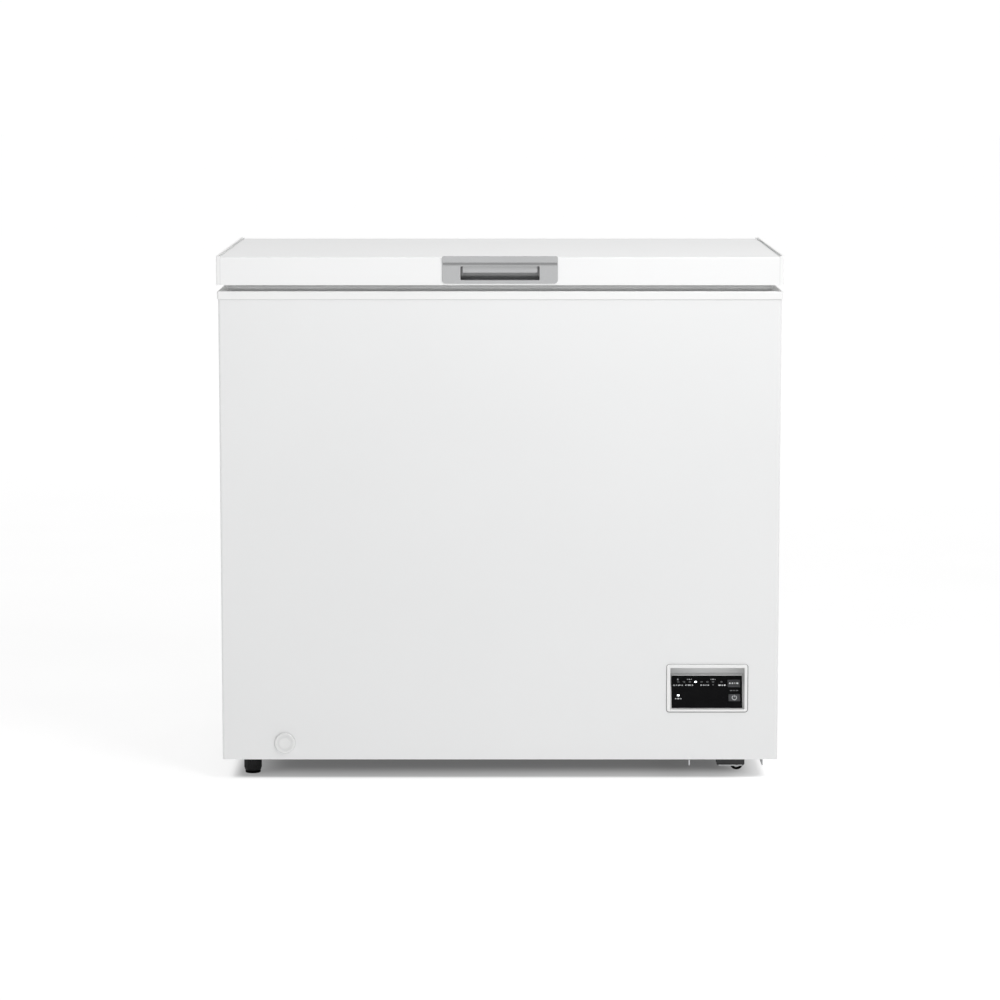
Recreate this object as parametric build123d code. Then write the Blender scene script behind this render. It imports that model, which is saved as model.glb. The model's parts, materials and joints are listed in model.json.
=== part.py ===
"""A 200-litre class chest freezer, built piece by piece in millimetres.

+X is the freezer's right as a user faces it, +Y is its back and +Z is up. The origin is on the floor,
under the middle of the whole freezer. Every sub-part is written to parts/NAME.step.
"""
from build123d import *
from math import cos, pi, radians, sin
import os

os.makedirs("parts", exist_ok=True)

# ---------------------------------------------------------------- driving dimensions
WIDTH = 905.0            # across the lid's end caps
DEPTH = 545.0            # from the handle's face to the backs of the hinges
HEIGHT = 850.0           # floor to the top of the lid's end caps
FRONT = -DEPTH / 2
BACK = DEPTH / 2

SHEET = 0.8              # steel sheet of the casing and the lid
WALL = 62.0              # insulated wall, from the casing's face to the inner liner's face
WELL_HALF_X = 388.0      # half the inside of the tub
WELL_HALF_Y = 196.5
WELL_CENTRE_Y = -8.5
WELL_CORNER = 20.0       # radius of the tub's upright corners

CASE_HALF_X = WELL_HALF_X + WALL
CASE_FRONT = WELL_CENTRE_Y - WELL_HALF_Y - WALL
CASE_BACK = WELL_CENTRE_Y + WELL_HALF_Y + WALL
CASE_BOTTOM = 33.0
CASE_TOP = 789.0
CASE_CORNER = 4.0

FLOOR_PLATE_Z = CASE_BOTTOM + SHEET      # the bottom plate lies on the casing's turned-in flange
FLOOR_PLATE_TOP = FLOOR_PLATE_Z + SHEET
TUB_FLOOR = 95.0
LINER = 1.0
HUMP_X = 215.0           # the tub's step over the compressor bay starts here
HUMP_TOP = 322.0
BAY_X = 262.0            # the compressor bay's inner wall
BAY_TOP = 275.0

COLLAR_BOTTOM = 781.0
COLLAR_TOP = 793.5
LEDGE_TOP = 785.0        # the inner ledge that the basket hangs on
LEDGE_GROW = 27.0        # the ledge's width, out from the tub's wall

LID_BOTTOM = 803.5
LID_TOP = 848.0
LID_FRONT = FRONT + 3.0
LID_BACK = 255.0
SKIN_HALF_X = 446.0      # the folded steel skin stops here, and the end caps start
CAP_GAP = 0.3

HINGE_CENTRES = (-290.0, 290.0)
PIVOT_Y = BACK - 8.0
PIVOT_Z = 805.0
PIN_RADIUS = 3.0
RUNNING_GAP = 0.05

FOOT_X = -405.0
FOOT_YS = (-210.0, 193.0)
WHEEL_X = 389.0
WHEEL_YS = (-186.0, 186.0)
WHEEL_RADIUS = 11.0
TYRE_WALL = 4.4
AXLE_RADIUS = 2.5

DRAIN_X = -348.7
DRAIN_Z = 60.5
DRAIN_Y = -170.0         # where the drain leaves the tub's floor
DRAIN_BORE = 7.2
DRAIN_TUBE_RADIUS = 9.0

UP = (Align.CENTER, Align.CENTER, Align.MIN)


# ---------------------------------------------------------------- helpers
def block(x, y, z):
    """A box between the low and high value on each axis."""
    size = [high - low for low, high in (x, y, z)]
    middle = [(low + high) / 2 for low, high in (x, y, z)]
    return Pos(*middle) * Box(*size)


def well(grow, z, corner=None):
    """An upright prism in plan like the tub, grown outwards, with rounded corners."""
    radius = WELL_CORNER + grow if corner is None else corner
    plan = RectangleRounded(2 * (WELL_HALF_X + grow), 2 * (WELL_HALF_Y + grow), radius)
    return extrude(Pos(0, WELL_CENTRE_Y, z[0]) * plan, z[1] - z[0])


def rod(start, end, radius):
    """A round bar from one point to another."""
    way = Vector(*end) - Vector(*start)
    return Plane(origin=start, z_dir=way) * Cylinder(radius, way.length, align=UP)


def tube(points, radii, radius, bore=0.0):
    """A round tube along straight runs joined by arcs."""
    path = FilletPolyline(*points, radius=radii)
    ring = Circle(radius)
    if bore:
        ring -= Circle(bore)
    return sweep(Plane(origin=path @ 0, z_dir=path % 0) * ring, path=path)


def side_profile(points, x):
    """A polygon in the YZ plane, extruded along X."""
    outline = make_face(Polyline(*[(x[0], y, z) for y, z in points], close=True))
    return extrude(outline, x[1] - x[0], dir=(1, 0, 0))


def hole(at, outward, radius, length):
    """A cylinder to cut, from a surface point inwards."""
    return rod(at, Vector(*at) - Vector(*outward) * length, radius)


def screw(at, outward, length, head=4.2, shank=2.0):
    """A pan-head screw with a cross recess. at is the point under its head."""
    recess_width, recess_depth, head_height = 0.9, 0.9, 1.7
    plane = Plane(origin=at, z_dir=outward)
    cap = Cylinder(head, head_height, align=UP)
    cap = fillet(cap.edges().sort_by(Axis.Z)[-1], 1.1)
    for turn in (0, 90):
        slot = Box(head * 1.1, recess_width, recess_depth * 2)
        cap -= Pos(0, 0, head_height) * Rot(0, 0, turn) * slot
    body = cap + Pos(0, 0, -length) * Cylinder(shank, length, align=UP)
    return plane * body


def group(solids):
    """Separate solids that share one node."""
    return Compound(children=list(solids))


def write(name, shape):
    export_step(shape, f"parts/{name}.step")


# ---------------------------------------------------------------- screws and the holes they need
SCREW_LENGTH = 12.0
SCREW_SHANK = 2.0
HOLE_RADIUS = SCREW_SHANK + 0.1
BACKWARD = (0, 1, 0)
RIGHTWARD = (1, 0, 0)
DOWNWARD = (0, 0, -1)

BRACKET_SHEET = 2.0
BRACKET_HALF = 22.0
BRACKET_BOTTOM = 695.0
BRACKET_TOP = 779.0      # of its base plate, just under the collar's skirt
BRACKET_FACE = CASE_BACK + BRACKET_SHEET
BRACKET_SCREWS = [(c + dx, BRACKET_FACE, z) for c in HINGE_CENTRES
                  for dx, z in ((0, 708), (-10, 764), (10, 764))]

LEAF_HALF = 17.5
LEAF_FACE = LID_BACK + BRACKET_SHEET
LEAF_SCREWS = [(c + dx, LEAF_FACE, 833) for c in HINGE_CENTRES for dx in (-10, 10)]

COVER_X = (268.0, 444.0)
COVER_Z = (40.0, 270.0)
COVER_OPENING_MARGIN = 10.0
COVER_FACE = CASE_BACK + SHEET
COVER_SCREWS = [(x, COVER_FACE, z) for x in (COVER_X[0] + 5, COVER_X[1] - 5)
                for z in (COVER_Z[0] + 20, COVER_Z[1] - 20)]
GLAND_AT = (418.0, COVER_FACE, 66.0)
GLAND_BORE = 4.1
GLAND_NECK = 6.5

GRILLE_Y = (-45.0, 195.0)
GRILLE_Z = (60.0, 240.0)
GRILLE_THICK = 2.0
GRILLE_RIM = 13.0
GRILLE_FACE = CASE_HALF_X + GRILLE_THICK
GRILLE_SEAT = GRILLE_FACE - 1.3    # the screw heads are sunk into the rim
GRILLE_SCREWS = [(GRILLE_SEAT, y, z) for y in (GRILLE_Y[0] + 6.5, GRILLE_Y[1] - 6.5)
                 for z in (GRILLE_Z[0] + 6.5, GRILLE_Z[1] - 6.5)]

HANDLE_HALF = 92.2
HANDLE_SCREW_ROOM = 4.6
HANDLE_SCREWS = [(x, -263.5, LID_BOTTOM + SHEET + 0.1) for x in (-78, 78)]   # heads sunk in the skin


# ---------------------------------------------------------------- casing
PANEL_X = (269.8, 400.4)          # the control panel's frame
PANEL_Z = (112.0, 189.4)
RECESS_X = (275.5, 395.5)
RECESS_Z = (115.6, 183.8)


def outer_shell():
    """One sheet wrapped round the front and both sides, with a flange turned in at the bottom."""
    def plan(inset, back):
        low, high = CASE_FRONT + inset, back
        half = CASE_HALF_X - inset
        rectangle = Pos(0, (low + high) / 2) * Rectangle(2 * half, high - low)
        return fillet(rectangle.vertices().sort_by(Axis.Y)[:2], max(CASE_CORNER - inset, 0.8))

    rear = CASE_BACK - SHEET
    flange_width = 15.0
    walls = plan(0, rear) - plan(SHEET, rear + 1)
    shell = extrude(Pos(0, 0, CASE_BOTTOM) * walls, CASE_TOP - CASE_BOTTOM)
    flange = plan(0, rear) - plan(flange_width, rear + 1)
    shell += extrude(Pos(0, 0, CASE_BOTTOM) * flange, SHEET)
    shell -= block((RECESS_X[0] - 3, RECESS_X[1] + 3), (CASE_FRONT - 1, CASE_FRONT + 2),
                   (RECESS_Z[0] - 3, RECESS_Z[1] + 3))
    shell -= rod((DRAIN_X, CASE_FRONT - 1, DRAIN_Z), (DRAIN_X, CASE_FRONT + 2, DRAIN_Z),
                 DRAIN_TUBE_RADIUS + 0.3)
    shell -= block((CASE_HALF_X - 2, CASE_HALF_X + 1), (GRILLE_Y[0] + 10, GRILLE_Y[1] - 10),
                   (GRILLE_Z[0] + 10, GRILLE_Z[1] - 10))
    for at in GRILLE_SCREWS:
        shell -= hole(at, RIGHTWARD, HOLE_RADIUS, SCREW_LENGTH)
    return shell


def back_panel():
    """The flat rear sheet, open behind the compressor bay."""
    panel = block((-CASE_HALF_X, CASE_HALF_X), (CASE_BACK - SHEET, CASE_BACK), (CASE_BOTTOM, CASE_TOP))
    margin = COVER_OPENING_MARGIN
    panel -= block((COVER_X[0] + margin, COVER_X[1] - margin), (CASE_BACK - 2, CASE_BACK + 2),
                   (COVER_Z[0] + margin, COVER_Z[1] - margin))
    panel += block((-434, 434), (CASE_BACK - 15, CASE_BACK - SHEET), (CASE_BOTTOM, CASE_BOTTOM + SHEET))
    for at in BRACKET_SCREWS + COVER_SCREWS:
        panel -= hole(at, BACKWARD, HOLE_RADIUS, SCREW_LENGTH)
    return panel


COIL_RADIUS = 4.0                     # evaporator tube
COIL_GROW = LINER + 0.3 + COIL_RADIUS # its centre line, out from the tub's inner wall
COIL_CORNER = WELL_CORNER + COIL_GROW # so that it follows the tub's corners
COIL_PITCH = 54.0
LOW_TURNS, HIGH_TURNS = 3, 6
HIGH_START_Z = 390.0
SUCTION_AT = (340.0, 208.0)           # where it comes down into the bay
INLET_AT = (-60.0, 120.0)             # Y and Z where it enters through the bay's wall
SKIN_TUBE = 2.4                       # condenser tube, fixed inside the casing
CONDENSER_DOWN_YS = (200.0, 230.0)
SKIN_TUBE_X = CASE_HALF_X - SHEET - 0.3 - SKIN_TUBE


def inside_casing(z):
    """The space inside the casing's sheets, with its two rounded front corners."""
    space = block((-449, 449), (CASE_FRONT + 1, CASE_BACK - 1), z)
    return fillet(space.edges().filter_by(Axis.Z).group_by(Axis.Y)[0], CASE_CORNER)


def bottom_plate():
    """One folded sheet: the floor, the bay's wall and the bay's roof."""
    plate = inside_casing((FLOOR_PLATE_Z, FLOOR_PLATE_TOP)) & block((-449, BAY_X), (-400, 400), (0, 100))
    plate += block((BAY_X, BAY_X + SHEET), (CASE_FRONT + 1, CASE_BACK - 1), (FLOOR_PLATE_Z, BAY_TOP + SHEET))
    plate += inside_casing((BAY_TOP, BAY_TOP + SHEET)) & block((BAY_X, 449), (-400, 400), (200, 300))
    for y in FOOT_YS:
        plate -= rod((FOOT_X, y, CASE_BOTTOM), (FOOT_X, y, FLOOR_PLATE_TOP + 1), STUD_RADIUS + 0.5)
    plate -= rod((BAY_X - 2, *INLET_AT), (BAY_X + 2, *INLET_AT), COIL_RADIUS + 0.3)
    plate -= rod((*SUCTION_AT, BAY_TOP - 2), (*SUCTION_AT, BAY_TOP + 2), COIL_RADIUS + 0.3)
    for y in CONDENSER_DOWN_YS:
        plate -= block((SKIN_TUBE_X - 3, 460), (y - 3, y + 3), (BAY_TOP - 2, BAY_TOP + 2))
    return plate


def tub(grow, top):
    """The space inside the tub with its step over the bay, grown outwards."""
    low_x = (-WELL_HALF_X - grow, HUMP_X + grow)
    plan = RectangleRounded(low_x[1] - low_x[0], 2 * (WELL_HALF_Y + grow), WELL_CORNER + grow)
    at = Pos(sum(low_x) / 2, WELL_CENTRE_Y, TUB_FLOOR - grow)
    low = extrude(at * plan, HUMP_TOP + 30 - TUB_FLOOR + grow)
    low = fillet(low.edges().group_by(Axis.Z)[0], 8 + grow)
    high = well(grow, (HUMP_TOP - grow, top))
    high = fillet(high.edges().group_by(Axis.Z)[0], 8 + grow)
    return low + high


def inner_liner():
    rim_top = COLLAR_BOTTOM + LINER
    liner = tub(LINER, rim_top) - tub(0, rim_top + 5)
    rim = well(14, (COLLAR_BOTTOM, rim_top)) - well(0.5, (COLLAR_BOTTOM - 1, rim_top + 1))
    liner += rim
    drain = (DRAIN_X, DRAIN_Y)
    liner -= rod((*drain, TUB_FLOOR - 3), (*drain, TUB_FLOOR + 3), DRAIN_TUBE_RADIUS + 0.1)
    return liner


TUBE_ROOM = 0.4                      # the foam's channels are this much wider all round than their tubes
PROBE_AT = (WELL_HALF_X + LINER + 3.4, -40.0, 440.0)
PROBE_RADIUS = 3.0
PROBE_LENGTH = 26.0


def insulation_foam():
    """The foam between the casing and the liner, with the channels of the two tube runs."""
    foam = inside_casing((FLOOR_PLATE_TOP + 0.2, COLLAR_BOTTOM))
    foam -= tub(LINER + 0.2, COLLAR_BOTTOM + 1)
    foam -= evaporator_coil(COIL_RADIUS + TUBE_ROOM)
    foam -= condenser_coil(SKIN_TUBE + TUBE_ROOM)
    foam -= Pos(*PROBE_AT) * Cylinder(PROBE_RADIUS + TUBE_ROOM, PROBE_LENGTH + 2 * TUBE_ROOM)
    foam -= block((BAY_X - 0.2, 500), (-400, 400), (0, BAY_TOP + SHEET + 0.2))
    for y in FOOT_YS:
        foam -= rod((FOOT_X, y, FLOOR_PLATE_Z), (FOOT_X, y, INSERT_TOP + 4), INSERT_RADIUS + 0.2)
    foam -= drain_path(DRAIN_TUBE_RADIUS + 0.3)
    foam -= rod((DRAIN_X, CASE_FRONT, DRAIN_Z), (DRAIN_X, CASE_FRONT + 31, DRAIN_Z), DRAIN_TUBE_RADIUS + 0.3)
    for at in BRACKET_SCREWS:
        foam -= hole(at, BACKWARD, HOLE_RADIUS, SCREW_LENGTH + 1)
    return foam


def top_collar():
    """The moulded frame that joins the casing to the liner, with a ledge for the basket."""
    under = COLLAR_TOP - 2.5
    collar = well(WALL + 1.7, (COLLAR_BOTTOM, COLLAR_TOP), corner=3.4)
    collar = fillet(collar.edges().group_by(Axis.Z)[-1], 2.0)
    collar -= well(WALL + 0.2, (COLLAR_BOTTOM - 1, under), corner=0.5)
    collar += well(LEDGE_GROW + 2, (LEDGE_TOP - 2.5, under + 1)) - well(LEDGE_GROW, (LEDGE_TOP, under + 1))
    collar -= well(LEDGE_GROW, (LEDGE_TOP, COLLAR_TOP + 1))
    collar += well(-0.2, (770, LEDGE_TOP))
    collar -= well(-1.7, (760, COLLAR_TOP + 1))
    inner_edge = collar.edges().group_by(Axis.Z)[-1]
    collar = chamfer(inner_edge, 0.8)
    return collar


# ---------------------------------------------------------------- refrigeration circuit
def evaporator_coil(radius=COIL_RADIUS):
    """One tube wound round the liner: low turns beside the step, then full turns above it."""
    x, step_x = WELL_HALF_X + COIL_GROW, HUMP_X + COIL_GROW
    front, back = WELL_CENTRE_Y - WELL_HALF_Y - COIL_GROW, WELL_CENTRE_Y + WELL_HALF_Y + COIL_GROW
    z = INLET_AT[1]
    points = [(BAY_X + 12, *INLET_AT), (step_x, *INLET_AT), (step_x, back, z)]
    for _ in range(LOW_TURNS):
        points += [(-x, back, z), (-x, front, z), (step_x, front, z)]
        z += COIL_PITCH
        points.append((step_x, back, z))
    z = HIGH_START_Z
    points += [(-x, back, points[-1][2]), (-x, front, points[-1][2]), (x, front, z - 30), (x, back, z)]
    for _ in range(HIGH_TURNS):
        points += [(-x, back, z), (-x, front, z), (x, front, z)]
        z += COIL_PITCH
        points.append((x, back, z))
    out_x, out_y = SUCTION_AT
    points += [(out_x, back, z), (out_x, out_y, z), (out_x, out_y, BAY_TOP - 6)]
    radii = [14.0] + [COIL_CORNER] * (len(points) - 5) + [6.0, 6.0]
    return tube(points, radii, radius)


def condenser_coil(radius=SKIN_TUBE):
    """A serpentine fixed to the inside of the casing, from the bay and back to it, and on to the drier."""
    x, front = SKIN_TUBE_X, CASE_FRONT + SHEET + 0.3 + SKIN_TUBE
    first_y, last_y = CONDENSER_DOWN_YS
    left_turn_y, right_turn_y = 200.0, 165.0
    levels = (340.0, 440.0, 540.0, 640.0)
    points = [(x, first_y, BAY_TOP - 6), (x, first_y, levels[0]), (x, front, levels[0]),
              (-x, front, levels[0]), (-x, left_turn_y, levels[0]), (-x, left_turn_y, levels[1]),
              (-x, front, levels[1]), (x, front, levels[1]), (x, right_turn_y, levels[1]),
              (x, right_turn_y, levels[2]), (x, front, levels[2]), (-x, front, levels[2]),
              (-x, left_turn_y, levels[2]), (-x, left_turn_y, levels[3]), (-x, front, levels[3]),
              (x, front, levels[3]), (x, last_y, levels[3]), (x, last_y, 248), (420, 228, 246),
              (DRIER_AT[0] + 20, 222, 250), (DRIER_AT[0], DRIER_AT[1], 244), (*DRIER_AT, DRIER_Z[1] + 0.1)]
    radii = [12.0] * 16 + [7.0, 14.0, 6.0, 6.0]
    return tube(points, radii, radius)


def temperature_probe():
    probe = Pos(*PROBE_AT) * Cylinder(PROBE_RADIUS, PROBE_LENGTH)
    return fillet(probe.edges().filter_by(GeomType.CIRCLE), 1.4)


BASE_X = (307.0, 428.0)
BASE_Z = FLOOR_PLATE_Z
BASE_THICK = 2.0
BASE_TOP = BASE_Z + BASE_THICK
COMPRESSOR_AT = (365.0, 55.0)
COMPRESSOR_RADIUS = 64.0
FOOT_SPREAD = (42.0, 74.0)
GROMMET_HEIGHT = 13.0
FEET_Z = BASE_TOP + GROMMET_HEIGHT
COMPRESSOR_FEET = [(COMPRESSOR_AT[0] + sx * FOOT_SPREAD[0], COMPRESSOR_AT[1] + sy * FOOT_SPREAD[1])
                   for sx in (-1, 1) for sy in (-1, 1)]
DISCHARGE_STUB = (402.0, 122.0, 98.0)
SUCTION_STUB = (340.0, 130.0, 112.0)


def compressor_base_plate():
    """The channel across the bottom of the bay that carries the compressor and the wheels."""
    plate = block(BASE_X, (CASE_FRONT + 2, CASE_BACK - 2), (BASE_Z, BASE_TOP))
    flange_bottom = 19.5
    for x in (BASE_X[0], BASE_X[1] - BASE_THICK):
        plate += block((x, x + BASE_THICK), (-250, 233), (flange_bottom, BASE_Z))
    for x, y in COMPRESSOR_FEET:
        plate -= rod((x, y, BASE_Z - 1), (x, y, BASE_TOP + 1), 3.2)
    for x, y in CASTER_SCREWS:
        plate -= rod((x, y, BASE_Z - 1), (x, y, BASE_TOP + 1), HOLE_RADIUS)
    return plate


def compressor():
    """The sealed shell: two drawn halves with a weld seam, feet plate and pipe stubs."""
    bottom, top, seam = FEET_Z + 6, 205.0, 128.0
    middle = (bottom + top) / 2
    shell = Pos(*COMPRESSOR_AT, middle) * Cylinder(COMPRESSOR_RADIUS, top - bottom)
    shell = fillet(shell.edges().filter_by(GeomType.CIRCLE), 30)
    shell += Pos(*COMPRESSOR_AT, seam) * Cylinder(COMPRESSOR_RADIUS + 3, 5)
    half_x, half_y = FOOT_SPREAD[0] + 11, FOOT_SPREAD[1] + 11
    feet = extrude(Pos(*COMPRESSOR_AT, FEET_Z) * RectangleRounded(2 * half_x, 2 * half_y, 10), 3)
    shell += feet
    shell += Pos(*COMPRESSOR_AT, FEET_Z + 3) * Cylinder(42, 12, align=UP)
    for x, y in COMPRESSOR_FEET:
        shell -= rod((x, y, FEET_Z - 1), (x, y, FEET_Z + 4), 6.2)
        shell -= rod((x, y, FEET_Z + 3), (x, y, FEET_Z + 30), 10)
    for stub, radius in ((DISCHARGE_STUB, SKIN_TUBE + 1.2), (SUCTION_STUB, COIL_RADIUS + 1.2)):
        inner = (stub[0], COMPRESSOR_AT[1] + 20, stub[2])
        shell += rod(inner, stub, radius)
    return shell


def compressor_terminal_cover():
    """The plastic box over the electric terminals, on the compressor's front side."""
    front_y = COMPRESSOR_AT[1] - COMPRESSOR_RADIUS
    box = block((338, 392), (front_y - 22, front_y + 12), (78, 122))
    box = fillet(box.edges().filter_by(Axis.Y), 5)
    box -= Pos(*COMPRESSOR_AT, 120) * Cylinder(COMPRESSOR_RADIUS + 3.4, 200)
    return box


def compressor_grommets():
    waist = Cylinder(6.0, 3.4, align=UP)
    one = Cylinder(9.0, GROMMET_HEIGHT - 0.2, align=UP) + Pos(0, 0, GROMMET_HEIGHT - 0.2) * waist
    one += Pos(0, 0, GROMMET_HEIGHT + 3.2) * Cylinder(9.0, 3, align=UP)
    one -= Cylinder(3.4, 40)
    return group(Pos(x, y, BASE_TOP) * one for x, y in COMPRESSOR_FEET)


def compressor_bolts():
    washer_z = FEET_Z + 6.3
    bolts = []
    for x, y in COMPRESSOR_FEET:
        bolt = Pos(x, y, washer_z) * Cylinder(8.0, 1.2, align=UP)
        bolt += extrude(Pos(x, y, washer_z + 1.2) * RegularPolygon(5.0, 6, major_radius=False), 4)
        bolt += rod((x, y, BASE_Z - 6), (x, y, washer_z), 3.0)
        bolt += extrude(Pos(x, y, BASE_Z - 5) * RegularPolygon(5.0, 6, major_radius=False), 4.8)
        bolts.append(bolt)
    return group(bolts)


DRIER_AT = (290.0, 205.0)
DRIER_Z = (120.0, 225.0)


def filter_drier():
    """A copper can with necked ends, upright in the bay's rear corner."""
    low, high = DRIER_Z
    neck, body_radius, neck_radius = 12.0, 10.0, 3.2
    points = [(0, low), (neck_radius, low), (neck_radius, low + neck), (body_radius, low + neck + 8),
              (body_radius, high - neck - 8), (neck_radius, high - neck), (neck_radius, high), (0, high)]
    outline = make_face(Polyline(*[(r, 0, z) for r, z in points], close=True))
    return Pos(*DRIER_AT, 0) * revolve(outline, Axis.Z, 360)


def capillary_tube():
    """The thin tube from the drier to the evaporator, with a slack loop."""
    x, y = DRIER_AT
    points = [(x, y, DRIER_Z[0] - 0.1), (x, y, 95), (x - 6, 150, 80), (x - 8, 60, 84), (x, -20, 96),
              (290, *INLET_AT), (BAY_X + 12.1, *INLET_AT)]
    return tube(points, [10.0, 24.0, 30.0, 22.0, 6.0], 1.2)


def discharge_line():
    """From the compressor up to the condenser."""
    x, y, z = DISCHARGE_STUB
    points = [(x, y + 0.1, z), (x, 165, z), (430, 200, 130), (SKIN_TUBE_X, CONDENSER_DOWN_YS[0], 190),
              (SKIN_TUBE_X, CONDENSER_DOWN_YS[0], BAY_TOP - 6.1)]
    return tube(points, [16.0, 18.0, 24.0], SKIN_TUBE)


def suction_line():
    """From the evaporator's end down to the compressor."""
    x, y, z = SUCTION_STUB
    points = [(*SUCTION_AT, BAY_TOP - 6.1), (*SUCTION_AT, 180), (x, 190, z), (x, y + 0.1, z)]
    return tube(points, [22.0, 22.0], COIL_RADIUS)


# ---------------------------------------------------------------- bay covers
def rear_cover():
    """A steel plate with louvre slots and a hole for the cable gland."""
    plate = block(COVER_X, (CASE_BACK, COVER_FACE), COVER_Z)
    plate = fillet(plate.edges().filter_by(Axis.Y), 6)
    rows, slot_height, pitch, first = 11, 5.0, 15.0, 92.0
    half_slot, centres = 31.0, (318.0, 394.0)
    for row in range(rows):
        for x in centres:
            slot = Pos(x, CASE_BACK, first + row * pitch) * Rot(90, 0, 0)
            plate -= slot * extrude(SlotOverall(2 * half_slot, slot_height), 4, both=True)
    for at in COVER_SCREWS:
        plate -= hole(at, BACKWARD, HOLE_RADIUS, 5)
    plate -= hole((GLAND_AT[0], COVER_FACE + 1, GLAND_AT[2]), BACKWARD, GLAND_NECK + 0.1, 6)
    return plate


def cord_gland():
    """The bush that the mains lead passes through."""
    x, face, z = GLAND_AT
    inside, outside = face - 7, face + 9
    gland = rod((x, inside, z), (x, outside, z), GLAND_NECK)
    gland += rod((x, face, z), (x, face + 3, z), 10.0)
    gland += rod((x, inside, z), (x, face - SHEET - 0.1, z), 8.5)
    gland = fillet(gland.edges().filter_by(GeomType.CIRCLE).sort_by(Axis.Y)[-1], 1.5)
    gland -= rod((x, inside - 1, z), (x, outside + 1, z), GLAND_BORE)
    return gland


def side_grille():
    """The louvred plastic vent in the right side, over the compressor bay."""
    low_y, high_y = GRILLE_Y
    low_z, high_z = GRILLE_Z
    middle_y, middle_z = (low_y + high_y) / 2, (low_z + high_z) / 2
    plane = Plane(origin=(CASE_HALF_X + 0.05, middle_y, middle_z), x_dir=(0, 1, 0), z_dir=(1, 0, 0))
    rim = plane * extrude(RectangleRounded(high_y - low_y, high_z - low_z, 7), GRILLE_THICK - 0.05)
    rim = chamfer(rim.edges().filter_by_position(Axis.X, GRILLE_FACE - 0.01, GRILLE_FACE + 0.01), 0.7)
    window_y = (low_y + GRILLE_RIM, high_y - GRILLE_RIM)
    window_z = (low_z + GRILLE_RIM, high_z - GRILLE_RIM)
    rim -= block((CASE_HALF_X - 5, CASE_HALF_X + 5), window_y, window_z)
    lip = 1.6
    collar = block((CASE_HALF_X - 6, CASE_HALF_X + 1),
                   (window_y[0] - lip, window_y[1] + lip), (window_z[0] - lip, window_z[1] + lip))
    collar -= block((CASE_HALF_X - 7, CASE_HALF_X + 5), window_y, window_z)
    grille = rim + collar
    slats, slat_width, slat_thick, tilt = 11, 12.0, 1.6, 40
    gap = (window_z[1] - window_z[0]) / slats
    for index in range(slats):
        slat = Box(slat_width, window_y[1] - window_y[0] + 1, slat_thick)
        at = Pos(CASE_HALF_X - 2.6, middle_y, window_z[0] + (index + 0.5) * gap)
        grille += at * Rot(0, tilt, 0) * slat
    grille += block((CASE_HALF_X - 6, GRILLE_FACE - 0.8), (middle_y - 2, middle_y + 2), window_z)
    for at in GRILLE_SCREWS:
        grille -= hole((at[0] + 1, at[1], at[2]), RIGHTWARD, HOLE_RADIUS, 5)
        grille -= hole((at[0] + 3, at[1], at[2]), RIGHTWARD, 4.6, 3)
    return grille


# ---------------------------------------------------------------- control panel
TILT = 18.8                       # the fascia leans back so that it can be read from above
FASCIA_SIZE = (114.6, 52.8)
FASCIA_X = 278.4
FASCIA_FOOT = (CASE_FRONT + 8.5, 116.2)   # Y and Z of the fascia's lower front edge
FASCIA_THICK = 1.2
LEAN = (0, -cos(radians(TILT)), sin(radians(TILT)))
FASCIA = Plane(origin=(FASCIA_X, *FASCIA_FOOT), x_dir=(1, 0, 0), z_dir=LEAN)
KEYS = {"select_key": (101.4, 40.0, 20.3, 12.2), "power_key": (101.9, 16.6, 18.8, 11.4)}
KEY_PROUD = 0.6
KEY_GAP = 0.3
LAMP_RADIUS = 1.6
LAMP_ROW_US = (11.0, 20.5, 30.1, 39.4, 49.1, 58.5, 67.7, 81.5)
LAMP_SPOTS = [(u, 42.5) for u in LAMP_ROW_US] + [(11.2, 20.5)]
RECESS_BACK = CASE_FRONT + 30


def beside_fascia(up, behind):
    """Y and Z of a point so far up the fascia and so far behind its face."""
    foot_y, foot_z = FASCIA_FOOT
    lean = radians(TILT)
    return (foot_y + cos(lean) * behind + sin(lean) * up, foot_z - sin(lean) * behind + cos(lean) * up)


def on_fascia(x, y, size_x, size_y, z):
    """A box in the fascia's own plane, centred at x, y, between two heights above its face."""
    return FASCIA * (Pos(x, y, (z[0] + z[1]) / 2) * Box(size_x, size_y, z[1] - z[0]))


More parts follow.
